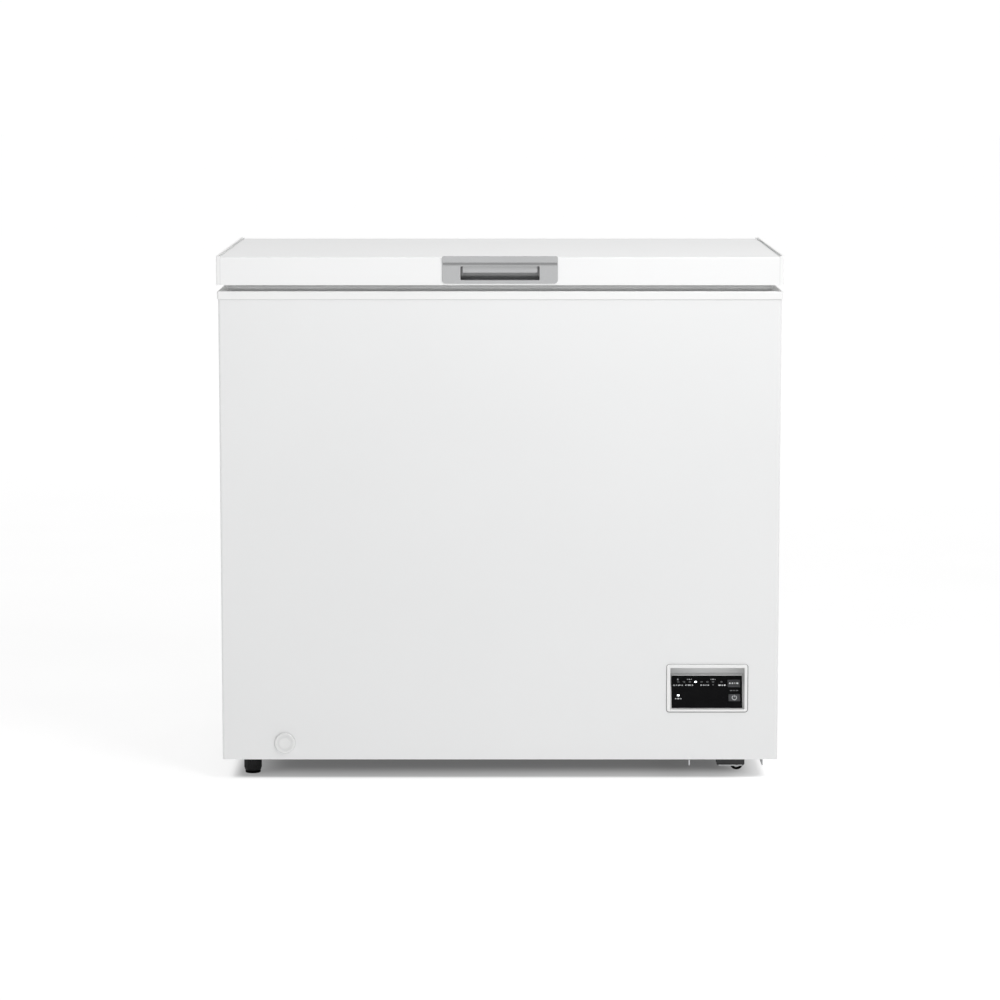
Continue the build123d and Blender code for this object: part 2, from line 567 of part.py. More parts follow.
def control_bezel():
    """The white frame with the recess behind it and the leaning seat for the fascia."""
    wall = 2.0
    middle_x, middle_z = sum(PANEL_X) / 2, sum(PANEL_Z) / 2
    plane = Plane(origin=(middle_x, CASE_FRONT - 0.05, middle_z), x_dir=(1, 0, 0), z_dir=(0, -1, 0))
    outline = RectangleRounded(PANEL_X[1] - PANEL_X[0], PANEL_Z[1] - PANEL_Z[0], 4.0)
    frame = plane * extrude(outline, 2.45)
    frame = fillet(frame.faces().sort_by(Axis.Y)[0].edges(), 1.2)
    housing = block((RECESS_X[0] - wall, RECESS_X[1] + wall), (CASE_FRONT - 0.05, RECESS_BACK + wall),
                    (RECESS_Z[0] - wall, RECESS_Z[1] + wall))
    seat_low = beside_fascia(-0.2, FASCIA_THICK + 0.1)
    seat_high = beside_fascia(FASCIA_SIZE[1] + 2, FASCIA_THICK + 0.1)
    recess = side_profile([(CASE_FRONT - 5, seat_low[1]), seat_low, seat_high,
                           (RECESS_BACK - 1, seat_high[1] + 0.8), (RECESS_BACK - 2, RECESS_Z[1]),
                           (CASE_FRONT - 5, RECESS_Z[1])], RECESS_X)
    rear_low = beside_fascia(-12, FASCIA_THICK + wall)
    rear_high = beside_fascia(FASCIA_SIZE[1], FASCIA_THICK + wall)
    beyond = RECESS_BACK + 5
    behind = side_profile([rear_low, rear_high, (beyond, rear_high[1]), (beyond, rear_low[1])], RECESS_X)
    bezel = frame + housing - recess - behind
    mouth = bezel.faces().filter_by(Axis.Y).sort_by(Axis.Y)[0].inner_wires()[0]
    bezel = fillet(mouth.edges(), 0.8)
    for x, y, size_x, size_y in KEYS.values():
        bezel -= on_fascia(x, y, size_x + 3, size_y + 3, (-6, 2))
    for x, y in LAMP_SPOTS:
        bezel -= FASCIA * (Pos(x, y, -3) * Cylinder(LAMP_RADIUS + 0.3, 8))
    return bezel


def control_fascia():
    """The black printed plate, with windows for the keys and the lamps."""
    width, height = FASCIA_SIZE
    plate = on_fascia(width / 2, height / 2, width, height, (-FASCIA_THICK + 0.05, 0))
    for x, y, size_x, size_y in KEYS.values():
        plate -= on_fascia(x, y, size_x + 2 * KEY_GAP, size_y + 2 * KEY_GAP, (-5, 5))
    for x, y in LAMP_SPOTS:
        plate -= FASCIA * (Pos(x, y) * Cylinder(LAMP_RADIUS + 0.05, 8))
    return plate


def key(x, y, size_x, size_y):
    """A push key that stands a little proud of the fascia."""
    outline = RectangleRounded(size_x, size_y, 1.6)
    cap = Pos(x, y, -3.0) * extrude(outline, 3.0 + KEY_PROUD)
    cap = fillet(cap.edges().group_by(Axis.Z)[-1], 0.4)
    return FASCIA * cap


def indicator_lamps():
    lens = Cylinder(LAMP_RADIUS, FASCIA_THICK + 1.2)
    lens = fillet(lens.edges().group_by(Axis.Z)[-1], 0.3)
    return group(FASCIA * (Pos(x, y, -FASCIA_THICK / 2 - 0.35) * lens) for x, y in LAMP_SPOTS)


def control_board():
    """The circuit board behind the seat, with its switches, relay and plug."""
    board = on_fascia(57, 26, 108, 42, (-9.6, -8.0))
    for x, y, _, _ in KEYS.values():
        board += on_fascia(x, y, 6, 6, (-8.0, -4.4))
    board += on_fascia(30, 30, 19, 15, (-21, -9.6))
    board += on_fascia(62, 20, 22, 8, (-17, -9.6))
    return board


# ---------------------------------------------------------------- drain
def drain_path(radius, bore=0.0):
    """From the tub's floor down and forward to the outlet."""
    points = [(DRAIN_X, DRAIN_Y, TUB_FLOOR - 0.4), (DRAIN_X, DRAIN_Y, DRAIN_Z),
              (DRAIN_X, CASE_FRONT + 31, DRAIN_Z)]
    return tube(points, [20.0], radius, bore)


def drain_outlet():
    """The spigot in the casing's front that a hose pushes into."""
    front, back = CASE_FRONT, CASE_FRONT + 30.8
    outlet = rod((DRAIN_X, front - 1.2, DRAIN_Z), (DRAIN_X, back, DRAIN_Z), DRAIN_TUBE_RADIUS)
    outlet += rod((DRAIN_X, front - 1.2, DRAIN_Z), (DRAIN_X, front - 0.05, DRAIN_Z), 13.0)
    outlet -= rod((DRAIN_X, front - 2, DRAIN_Z), (DRAIN_X, back + 1, DRAIN_Z), DRAIN_BORE)
    return outlet


def drain_cap():
    """The round cap over the outlet, with a groove round a dished middle, and a spigot."""
    face, rear, skirt = 4.2, 1.5, 0.3
    plane = Plane(origin=(DRAIN_X, CASE_FRONT, DRAIN_Z), z_dir=(0, -1, 0))
    cap = Pos(0, 0, skirt) * Cylinder(16.5, face - skirt, align=UP)
    cap = fillet(cap.edges().sort_by(Axis.Z)[-1], 2.2)
    cap -= Pos(0, 0, skirt - 1) * Cylinder(14.6, rear - skirt + 1, align=UP)
    ring_radius, field_radius, dish_radius = 12.9, 8.9, 40.0
    cap -= Pos(0, 0, face - 0.7) * (Cylinder(ring_radius, 2, align=UP) - Cylinder(field_radius, 2, align=UP))
    cap -= Pos(0, 0, face + dish_radius - 0.9) * Sphere(dish_radius)
    cap += Pos(0, 0, -14) * Cylinder(DRAIN_BORE - 0.2, 14 + rear, align=UP)
    return plane * cap


def drain_plug():
    """The inner plug in the tub's floor, with a finger tab."""
    top = TUB_FLOOR + 3.4
    plug = rod((DRAIN_X, DRAIN_Y, TUB_FLOOR + 0.3), (DRAIN_X, DRAIN_Y, top), 14.0)
    plug = fillet(plug.edges().sort_by(Axis.Z)[-1], 1.2)
    plug += rod((DRAIN_X, DRAIN_Y, TUB_FLOOR - 11), (DRAIN_X, DRAIN_Y, top - 1), DRAIN_BORE - 0.2)
    tab = block((DRAIN_X - 9, DRAIN_X + 9), (DRAIN_Y - 1.5, DRAIN_Y + 1.5), (top - 0.5, top + 9))
    plug += fillet(tab.edges().filter_by(Axis.Y).group_by(Axis.Z)[-1], 5)
    return plug


# ---------------------------------------------------------------- feet and wheels
STUD_RADIUS = 4.0
STUD_TOP = 46.0
INSERT_RADIUS = 8.0
INSERT_TOP = 48.0
PAD_TOP = 4.0
KNOB_Z = (PAD_TOP + 0.3, 29.5)
KNOB_RADIUS = 14.5


def foot_inserts():
    """Threaded inserts, foamed in above the bottom plate."""
    inserts = []
    for y in FOOT_YS:
        insert = rod((FOOT_X, y, FLOOR_PLATE_TOP + 0.1), (FOOT_X, y, INSERT_TOP), INSERT_RADIUS)
        inserts.append(insert - rod((FOOT_X, y, 20), (FOOT_X, y, 60), STUD_RADIUS + RUNNING_GAP))
    return group(inserts)


def foot_screw(y):
    """The ribbed knob turned by hand, with its stud above and a socket for the pad below."""
    low, high = KNOB_Z
    knob = rod((FOOT_X, y, low), (FOOT_X, y, high), KNOB_RADIUS - 0.8)
    knob = fillet(knob.edges().group_by(Axis.Z)[0], 2.0)
    ribs = 24
    for index in range(ribs):
        turn = 360 / ribs * index
        rib = Pos(KNOB_RADIUS - 1.2, 0, (low + high + 4) / 2) * Cylinder(1.15, high - low - 4)
        knob += Pos(FOOT_X, y, 0) * Rot(0, 0, turn) * rib
    knob += rod((FOOT_X, y, high - 1), (FOOT_X, y, STUD_TOP), STUD_RADIUS)
    knob -= rod((FOOT_X, y, low - 1), (FOOT_X, y, low + 10), PIN_RADIUS + 1 + RUNNING_GAP)
    return knob


def foot_pad(y):
    """The pad that stays still on the floor while the knob turns on its spigot."""
    pad = rod((FOOT_X, y, 0), (FOOT_X, y, PAD_TOP), KNOB_RADIUS - 2)
    pad = fillet(pad.edges().group_by(Axis.Z)[0], 0.8)
    return pad + rod((FOOT_X, y, PAD_TOP - 1), (FOOT_X, y, PAD_TOP + 9), PIN_RADIUS + 1)


CASTER_X = (356.0, 402.0)
CHEEK_SHEET = 1.6
CHEEK_BOTTOM = 7.0
WHEEL_WIDTH = 14.0
CASTER_TOP = BASE_Z - 0.1
CASTER_SCREWS = [(x, y) for y in WHEEL_YS for x in (359.0, 367.0)]


def caster_bracket(y):
    """A bent steel bracket with two cheeks and the wheel's axle."""
    half = WHEEL_WIDTH / 2 + 1.2
    bracket = block(CASTER_X, (y - half - CHEEK_SHEET, y + half + CHEEK_SHEET), (CASTER_TOP - 2, CASTER_TOP))
    for low in (y - half - CHEEK_SHEET, y + half):
        cheek = block(CASTER_X, (low, low + CHEEK_SHEET), (CHEEK_BOTTOM, CASTER_TOP))
        bracket += chamfer(cheek.edges().filter_by(Axis.Y).group_by(Axis.Z)[0], 3)
    reach = half + 2.6
    bracket += rod((WHEEL_X, y - reach, WHEEL_RADIUS), (WHEEL_X, y + reach, WHEEL_RADIUS), AXLE_RADIUS)
    for x, screw_y in CASTER_SCREWS:
        if screw_y == y:
            bracket -= rod((x, y, CASTER_TOP - 5), (x, y, CASTER_TOP + 5), HOLE_RADIUS)
    return bracket


def wheel_hub(y):
    half = WHEEL_WIDTH / 2
    bore = AXLE_RADIUS + RUNNING_GAP
    hub = rod((WHEEL_X, y - half, WHEEL_RADIUS), (WHEEL_X, y + half, WHEEL_RADIUS), WHEEL_RADIUS - TYRE_WALL - 0.05)
    return hub - rod((WHEEL_X, y - 20, WHEEL_RADIUS), (WHEEL_X, y + 20, WHEEL_RADIUS), bore)


def wheel_tyre(y):
    half = WHEEL_WIDTH / 2
    tyre = rod((WHEEL_X, y - half, WHEEL_RADIUS), (WHEEL_X, y + half, WHEEL_RADIUS), WHEEL_RADIUS)
    tyre = fillet(tyre.edges().filter_by(GeomType.CIRCLE), 1.2)
    return tyre - rod((WHEEL_X, y - 20, WHEEL_RADIUS), (WHEEL_X, y + 20, WHEEL_RADIUS), WHEEL_RADIUS - TYRE_WALL)


# ---------------------------------------------------------------- lid
def lid_skin():
    """One folded sheet: top, front, back and the flanges turned in under them."""
    outside = side_profile([(LID_FRONT, LID_BOTTOM), (LID_FRONT, LID_TOP), (LID_BACK, LID_TOP),
                            (LID_BACK, LID_BOTTOM)], (-SKIN_HALF_X, SKIN_HALF_X))
    outside = fillet(outside.edges().filter_by(Axis.X).group_by(Axis.Z)[-1], 2.2)
    inner = (LID_FRONT + SHEET, LID_BACK - SHEET)
    inside = side_profile([(inner[0], LID_BOTTOM + SHEET), (inner[0], LID_TOP - SHEET),
                           (inner[1], LID_TOP - SHEET), (inner[1], LID_BOTTOM + SHEET)],
                          (-SKIN_HALF_X - 1, SKIN_HALF_X + 1))
    inside = fillet(inside.edges().filter_by(Axis.X).group_by(Axis.Z)[-1], 1.4)
    skin = outside - inside
    flange = 12.0
    skin -= block((-500, 500), (LID_FRONT + flange, LID_BACK - flange),
                  (LID_BOTTOM - 1, LID_BOTTOM + SHEET + 0.01))
    skin -= block((-POCKET_HALF - 3.5, POCKET_HALF + 3.5), (LID_FRONT - 1, LID_FRONT + 2),
                  (POCKET_Z[0] - 4, POCKET_Z[1] + 6.5))
    for at in LEAF_SCREWS:
        skin -= hole(at, BACKWARD, HOLE_RADIUS, SCREW_LENGTH)
    for at in HANDLE_SCREWS:
        skin -= hole((at[0], at[1], LID_BOTTOM - 1), DOWNWARD, HANDLE_SCREW_ROOM, 3)
    return skin


def lid_end_cap(side):
    """The moulded end of the lid, hollow inside, with a raised rib along its outer top edge."""
    inner, outer = SKIN_HALF_X + CAP_GAP, WIDTH / 2
    y = (LID_FRONT - 0.2, LID_BACK + 0.2)
    cap = block((inner, outer), y, (LID_BOTTOM, HEIGHT))
    cap = fillet(cap.edges().filter_by(Axis.Z).group_by(Axis.X)[-1], 2.0)
    groove_floor, rib = LID_TOP - 1.6, 2.4
    cap -= block((inner - 1, outer - rib), (y[0] + 3.2, y[1] - 3.2), (groove_floor, HEIGHT + 1))
    wall = 2.2
    cap -= block((inner - 1, outer - wall), (y[0] + wall, y[1] - wall),
                 (LID_BOTTOM + wall, groove_floor - wall))
    cap = fillet(cap.edges().group_by(Axis.Z)[-1], 0.7)
    cap = fillet(cap.faces().sort_by(Axis.Z)[0].outer_wire().edges(), 0.7)
    return cap if side > 0 else mirror(cap, about=Plane.YZ)


DOME_GROW = 26.0
DOME_BOTTOM = 796.0
LID_LINER_Z = (LID_BOTTOM + SHEET + 0.1, LID_BOTTOM + SHEET + 1.6)


def lid_liner():
    """The moulded inner panel, with a raised field inside the gasket."""
    sheet = LID_LINER_Z[1] - LID_LINER_Z[0]
    panel = block((-445, 445), (LID_FRONT + 1.2, LID_BACK - 1.2), LID_LINER_Z)
    panel += well(DOME_GROW, (DOME_BOTTOM, LID_LINER_Z[1]))
    panel = fillet(panel.edges().group_by(Axis.Z)[0], 3.0)
    panel -= well(DOME_GROW - sheet, (DOME_BOTTOM + sheet, LID_LINER_Z[1] + 1))
    for at in HANDLE_SCREWS:
        panel -= hole((at[0], at[1], at[2] - 1), DOWNWARD, HOLE_RADIUS, 6)
    return panel


POCKET_HALF = 63.0               # the finger pocket in the handle
POCKET_Z = (811.5, 833.6)
POCKET_BACK = -237.0
BAR_END_GAP = 3.5                # from the grip bar's ends to the pocket's side walls
HANDLE_FACE = FRONT + 1.3
HANDLE_Z = (806.0, 849.6)
GROOVE_Z = (835.2, 839.5)        # the step under the handle's top strip


def lid_foam():
    foam = block((-445, 445), (LID_FRONT + 1, LID_BACK - 1), (LID_LINER_Z[1] + 0.1, LID_TOP - SHEET - 0.1))
    foam += well(DOME_GROW - 1.7, (DOME_BOTTOM + 1.7, LID_LINER_Z[1] + 1))
    foam = fillet(foam.edges().filter_by(Axis.X).group_by(Axis.Z)[-1], 2.0)
    foam -= block((-POCKET_HALF - 3.3, POCKET_HALF + 3.3), (-300, POCKET_BACK + 2.3),
                  (POCKET_Z[0] - 3.5, POCKET_Z[1] + 7))
    foam -= block((-84, 84), (-300, -257), (800, POCKET_Z[0] + 6))
    for at in LEAF_SCREWS:
        foam -= hole(at, BACKWARD, HOLE_RADIUS, SCREW_LENGTH + 1)
    return foam


def lid_gasket():
    """The soft magnetic seal: a pad held in the lid, a neck and the magnet's pocket."""
    outer, width, corner = 50.0, 16.0, 18.5
    low = COLLAR_TOP + 0.2

    def ring(inset, z):
        hole_z = (z[0] - 1, z[1] + 1)
        return well(outer - inset, z, corner - inset) - well(outer - width + inset, hole_z, corner - width + inset)

    gasket = ring(0, (799.5, LID_LINER_Z[0] - 0.1))
    gasket += ring(3.5, (797.5, 799.5))
    magnet = ring(1.0, (low, 797.6))
    gasket += magnet
    return gasket


def lid_handle():
    """The moulded handle: a face over the lid's front edge, and a pocket with a grip bar."""
    middle_z = (HANDLE_Z[0] + HANDLE_Z[1]) / 2
    plane = Plane(origin=(0, LID_FRONT - 0.1, middle_z), x_dir=(1, 0, 0), z_dir=(0, -1, 0))
    outline = Rectangle(2 * HANDLE_HALF, HANDLE_Z[1] - HANDLE_Z[0])
    outline = fillet(outline.vertices().sort_by(Axis.Y)[:2], 6.0)
    outline = fillet(outline.vertices().sort_by(Axis.Y)[-2:], 2.0)
    strip_bottom, wall, soft = GROOVE_Z[1], 2.0, 0.6
    face = plane * extrude(outline, LID_FRONT - 0.1 - HANDLE_FACE)
    face = fillet(face.faces().sort_by(Axis.Y)[0].edges(), soft)
    strip_outline = outline & (Pos(0, strip_bottom + 20 - middle_z) * Rectangle(400, 40))
    strip = plane * extrude(strip_outline, LID_FRONT - 0.1 - FRONT)
    strip = fillet(strip.faces().sort_by(Axis.Y)[0].edges(), soft)
    handle = face + strip
    lip = block((2.2 - HANDLE_HALF, HANDLE_HALF - 2.2), (FRONT + 0.9, LID_FRONT + 6),
                (LID_TOP + 0.1, HANDLE_Z[1]))
    handle += fillet(lip.edges().filter_by(Axis.X).group_by(Axis.Y)[-1].sort_by(Axis.Z)[-1:], soft)
    handle += block((-POCKET_HALF - wall, POCKET_HALF + wall), (LID_FRONT - 0.1, POCKET_BACK + wall),
                    (POCKET_Z[0] - wall, POCKET_Z[1] + 3 + wall))
    for x, y, z in HANDLE_SCREWS:
        boss_y = (LID_FRONT + 1.1, y + 6)
        rib_x = (POCKET_HALF, x) if x > 0 else (x, -POCKET_HALF)
        handle += block((x - 5, x + 5), boss_y, (LID_LINER_Z[1] + 0.1, POCKET_Z[0] + 3))
        handle += block(rib_x, boss_y, (POCKET_Z[0] - wall, POCKET_Z[0] + 3))
        handle -= rod((x, y, z - 1), (x, y, z + SCREW_LENGTH + 1), HOLE_RADIUS)
    cavity = block((-POCKET_HALF, POCKET_HALF), (LID_FRONT + 1.5, POCKET_BACK),
                   (POCKET_Z[0], POCKET_Z[1] + 3))
    cavity = fillet(cavity.edges().filter_by(Axis.X).group_by(Axis.Y)[-1], 6)
    mouth = block((-POCKET_HALF, POCKET_HALF), (FRONT - 1, LID_FRONT + 2), POCKET_Z)
    mouth = fillet(mouth.edges().filter_by(Axis.Y), 1.5)
    handle -= cavity + mouth
    handle -= block((-HANDLE_HALF - 1, HANDLE_HALF + 1), (FRONT - 1, LID_FRONT - 0.45), GROOVE_Z)
    front_face = handle.faces().filter_by_position(Axis.Y, HANDLE_FACE - 0.01, HANDLE_FACE + 0.01)
    handle = fillet(front_face.sort_by(SortBy.AREA)[-1].inner_wires()[0].edges(), soft)
    bar_front, bar_back, bar_bottom, bar_top = -267.2, -262.0, 822.4, POCKET_Z[1] + 3.2
    bar = [(bar_front, bar_top), (bar_front, bar_bottom + 2.6), (bar_front + 0.7, bar_bottom + 0.9),
           (bar_front + 2.0, bar_bottom), (bar_back - 1.2, bar_bottom), (bar_back - 0.3, bar_bottom + 0.8),
           (bar_back, bar_bottom + 2.2), (bar_back, bar_top)]
    handle += side_profile(bar, (BAR_END_GAP - POCKET_HALF, POCKET_HALF - BAR_END_GAP))
    return handle


# ---------------------------------------------------------------- hinges
EYE_RADIUS = 8.0
EAR_RADIUS = 7.0
CHEEK_X = 20.0
EAR_X = 15.5


def hinge_bracket(c):
    """The pressed bracket on the casing's back, with two cheeks that carry the pin."""
    low, high = CASE_BACK + 0.05, BRACKET_FACE
    bracket = block((c - BRACKET_HALF, c + BRACKET_HALF), (low, high), (BRACKET_BOTTOM, BRACKET_TOP))
    bracket = fillet(bracket.edges().filter_by(Axis.Y).group_by(Axis.Z)[0], 8)
    inner_y, outer_y = PIVOT_Y - EYE_RADIUS, PIVOT_Y + EYE_RADIUS
    side = [(low, BRACKET_BOTTOM + 12), (PIVOT_Y - 2, BRACKET_BOTTOM + 34), (outer_y, PIVOT_Z - 14),
            (outer_y, PIVOT_Z), (inner_y, PIVOT_Z), (inner_y, PIVOT_Z - 20), (low, BRACKET_TOP)]
    for x in (c - CHEEK_X - BRACKET_SHEET, c + CHEEK_X):
        cheek = side_profile(side, (x, x + BRACKET_SHEET))
        cheek += rod((x, PIVOT_Y, PIVOT_Z), (x + BRACKET_SHEET, PIVOT_Y, PIVOT_Z), EYE_RADIUS)
        bracket += cheek
    bracket -= rod((c - 40, PIVOT_Y, PIVOT_Z), (c + 40, PIVOT_Y, PIVOT_Z), PIN_RADIUS + RUNNING_GAP)
    for at in BRACKET_SCREWS:
        bracket -= hole(at, BACKWARD, HOLE_RADIUS, 5)
    return bracket


def hinge_leaf(c):
    """The leaf on the lid's back, with two ears that turn on the pin."""
    low, high = LID_BACK + 0.05, LEAF_FACE
    leaf = block((c - LEAF_HALF, c + LEAF_HALF), (low, high), (811, 843))
    leaf = fillet(leaf.edges().filter_by(Axis.Y).group_by(Axis.Z)[-1], 6)
    ear_side = [(low, 811), (low, 826), (high, 826), (PIVOT_Y + EAR_RADIUS * 0.7, PIVOT_Z + EAR_RADIUS * 0.7),
                (PIVOT_Y - EAR_RADIUS * 0.7, PIVOT_Z - EAR_RADIUS * 0.7), (PIVOT_Y - EAR_RADIUS, PIVOT_Z + 2)]
    for x in (c - EAR_X - BRACKET_SHEET, c + EAR_X):
        ear = side_profile(ear_side, (x, x + BRACKET_SHEET))
        ear += rod((x, PIVOT_Y, PIVOT_Z), (x + BRACKET_SHEET, PIVOT_Y, PIVOT_Z), EAR_RADIUS)
        leaf += ear
    leaf -= rod((c - 40, PIVOT_Y, PIVOT_Z), (c + 40, PIVOT_Y, PIVOT_Z), PIN_RADIUS + RUNNING_GAP)
    for at in LEAF_SCREWS:
        leaf -= hole(at, BACKWARD, HOLE_RADIUS, 5)
    return leaf


def hinge_pins():
    """Headed pins, one through each hinge."""
    pins = []
    reach = CHEEK_X + BRACKET_SHEET
    for c in HINGE_CENTRES:
        pin = rod((c - reach - 1.5, PIVOT_Y, PIVOT_Z), (c + reach + 1.5, PIVOT_Y, PIVOT_Z), PIN_RADIUS)
        for x in (c - reach - 1.8, c + reach + 0.2):
            pin += rod((x, PIVOT_Y, PIVOT_Z), (x + 1.6, PIVOT_Y, PIVOT_Z), 5.0)
        pins.append(pin)
    return group(pins)


def hinge_springs():
    """Torsion springs round the pins, which carry part of the lid's weight."""
    wire, coil_radius, pitch, length = 0.9, 4.6, 2.1, 25.0
    springs = []
    for c in HINGE_CENTRES:
        helix = Helix(pitch, length, coil_radius)
        section = Plane(origin=helix @ 0, z_dir=helix % 0) * Circle(wire)
        coil = sweep(section, path=helix)
        turned = Pos(c - length / 2, PIVOT_Y, PIVOT_Z) * Rot(0, 90, 0) * coil
        springs.append(turned)
    return group(springs)


# ---------------------------------------------------------------- screws
def casing_screws():
    """The screws of the rear cover, the grille, the hinge brackets and the wheel brackets."""
    screws = [screw(at, BACKWARD, SCREW_LENGTH) for at in COVER_SCREWS + BRACKET_SCREWS]
    screws += [screw(at, RIGHTWARD, SCREW_LENGTH) for at in GRILLE_SCREWS]
    screws += [screw((x, y, CASTER_TOP - 2), DOWNWARD, SCREW_LENGTH) for x, y in CASTER_SCREWS]
    return group(screws)


def lid_screws():
    """The screws that hold the handle, and the hinge leaves, to the lid."""
    screws = [screw(at, BACKWARD, SCREW_LENGTH) for at in LEAF_SCREWS]
    screws += [screw(at, DOWNWARD, SCREW_LENGTH) for at in HANDLE_SCREWS]
    return group(screws)


# ---------------------------------------------------------------- basket
BASKET_X = 254.0
BASKET_HALF = (125.0, 181.5)
RIM_WIRE = 3.0
RING_WIRE = 2.0
MESH_WIRE = 1.5
RIM_Z = 765.0
BASKET_FLOOR = 585.0
RING_INNER = 3.0                 # every ring's inner side is this far inside the rim's centre line
WIRE_GAP = 0.05


def ring(z, wire):
    """A closed rectangle of wire with rounded corners."""
    half_x = BASKET_HALF[0] - RING_INNER + wire
    half_y = BASKET_HALF[1] - RING_INNER + wire
    corner = 18.0
    path = RectangleRounded(2 * half_x, 2 * half_y, corner).wire()
    section = Plane(origin=path @ 0, z_dir=path % 0) * Circle(wire)
    return Pos(BASKET_X, WELL_CENTRE_Y, z) * sweep(section, path=path)


def basket_frame():
    """The thick rim and the two thinner rings under it."""
    levels = ((RIM_Z, RIM_WIRE), (675.0, RING_WIRE), (BASKET_FLOOR, RING_WIRE))
    return group(ring(z, wire) for z, wire in levels)


def basket_wires():
    """Straight mesh wires, welded inside the rings, and the floor wires on the lowest ring."""
    inset_x = BASKET_HALF[0] - RING_INNER - MESH_WIRE - WIRE_GAP
    inset_y = BASKET_HALF[1] - RING_INNER - MESH_WIRE - WIRE_GAP
    columns, rows, corner = 8, 12, 20.0
    xs = [BASKET_X - inset_x + corner + n * 2 * (inset_x - corner) / (columns - 1) for n in range(columns)]
    ys = [WELL_CENTRE_Y - inset_y + corner + n * 2 * (inset_y - corner) / (rows - 1) for n in range(rows)]
    floor_across = BASKET_FLOOR + RING_WIRE + MESH_WIRE + WIRE_GAP
    floor_along = floor_across + 2 * MESH_WIRE + WIRE_GAP
    low, high = floor_along + MESH_WIRE + WIRE_GAP, RIM_Z + RIM_WIRE
    wires = []
    for x in xs:
        for y in (WELL_CENTRE_Y - inset_y, WELL_CENTRE_Y + inset_y):
            wires.append(rod((x, y, low), (x, y, high), MESH_WIRE))
        reach = inset_y + MESH_WIRE + 2
        start, end = WELL_CENTRE_Y - reach, WELL_CENTRE_Y + reach
        wires.append(rod((x, start, floor_along), (x, end, floor_along), MESH_WIRE))
    for y in ys:
        for x in (BASKET_X - inset_x, BASKET_X + inset_x):
            wires.append(rod((x, y, low), (x, y, high), MESH_WIRE))
        reach = inset_x + MESH_WIRE + 2
        start, end = BASKET_X - reach, BASKET_X + reach
        wires.append(rod((start, y, floor_across), (end, y, floor_across), MESH_WIRE))
    return group(wires)


def basket_hangers():
    """Wire loops that rise from the rim and rest on the collar's ledge, front and back."""
    wire = 2.5
    post = BASKET_HALF[1] + RIM_WIRE + wire + WIRE_GAP
    rest_z = LEDGE_TOP + wire + 0.1
    end = WELL_HALF_Y + 17.0
    half = 60.0
    loops = []
    for side in (-1, 1):
        y, reach = WELL_CENTRE_Y + side * post, WELL_CENTRE_Y + side * end
        left, right, foot_z = BASKET_X - half, BASKET_X + half, RIM_Z - 8
        points = [(left, y, foot_z), (left, y, rest_z), (left, reach, rest_z),
                  (right, reach, rest_z), (right, y, rest_z), (right, y, foot_z)]
        loops.append(tube(points, [6.0, 8.0, 8.0, 6.0], wire))
    return group(loops)


# ---------------------------------------------------------------- write every piece
PIECES = {
    "outer_shell": outer_shell,
    "back_panel": back_panel,
    "bottom_plate": bottom_plate,
    "insulation_foam": insulation_foam,
    "inner_liner": inner_liner,
    "top_collar": top_collar,
    "evaporator_coil": evaporator_coil,
    "condenser_coil": condenser_coil,
    "temperature_probe": temperature_probe,
    "compressor_base_plate": compressor_base_plate,
    "compressor": compressor,
    "compressor_terminal_cover": compressor_terminal_cover,
    "compressor_grommets": compressor_grommets,
    "compressor_bolts": compressor_bolts,
    "filter_drier": filter_drier,
    "capillary_tube": capillary_tube,
    "discharge_line": discharge_line,
    "suction_line": suction_line,
    "rear_cover": rear_cover,
    "cord_gland": cord_gland,
    "side_grille": side_grille,
    "casing_screws": casing_screws,
    "control_bezel": control_bezel,
    "control_fascia": control_fascia,
    "control_board": control_board,
    "indicator_lamps": indicator_lamps,
    "drain_outlet": drain_outlet,
    "drain_tube": lambda: drain_path(DRAIN_TUBE_RADIUS, DRAIN_BORE),
    "drain_cap": drain_cap,
    "drain_plug": drain_plug,
    "foot_inserts": foot_inserts,
    "lid_skin": lid_skin,
    "lid_foam": lid_foam,
    "lid_liner": lid_liner,
    "lid_gasket": lid_gasket,
    "lid_handle": lid_handle,
    "lid_screws": lid_screws,
    "hinge_pins": hinge_pins,
    "hinge_springs": hinge_springs,
    "basket_frame": basket_frame,
    "basket_wires": basket_wires,
    "basket_hangers": basket_hangers,
}
for side_name, side in (("left", -1), ("right", 1)):
    PIECES[f"{side_name}_lid_end_cap"] = lambda side=side: lid_end_cap(side)
for side_name, centre in zip(("left", "right"), HINGE_CENTRES):
    PIECES[f"{side_name}_hinge_bracket"] = lambda centre=centre: hinge_bracket(centre)
    PIECES[f"{side_name}_hinge_leaf"] = lambda centre=centre: hinge_leaf(centre)
for end, foot_y, wheel_y in zip(("front", "rear"), FOOT_YS, WHEEL_YS):
    PIECES[f"{end}_foot_screw"] = lambda y=foot_y: foot_screw(y)
    PIECES[f"{end}_foot_pad"] = lambda y=foot_y: foot_pad(y)
    PIECES[f"{end}_caster_bracket"] = lambda y=wheel_y: caster_bracket(y)
    PIECES[f"{end}_wheel_hub"] = lambda y=wheel_y: wheel_hub(y)
    PIECES[f"{end}_wheel_tyre"] = lambda y=wheel_y: wheel_tyre(y)
for key_name, place in KEYS.items():
    PIECES[key_name] = lambda place=place: key(*place)

for name, make in PIECES.items():
    write(name, make())
print(len(PIECES), "pieces")
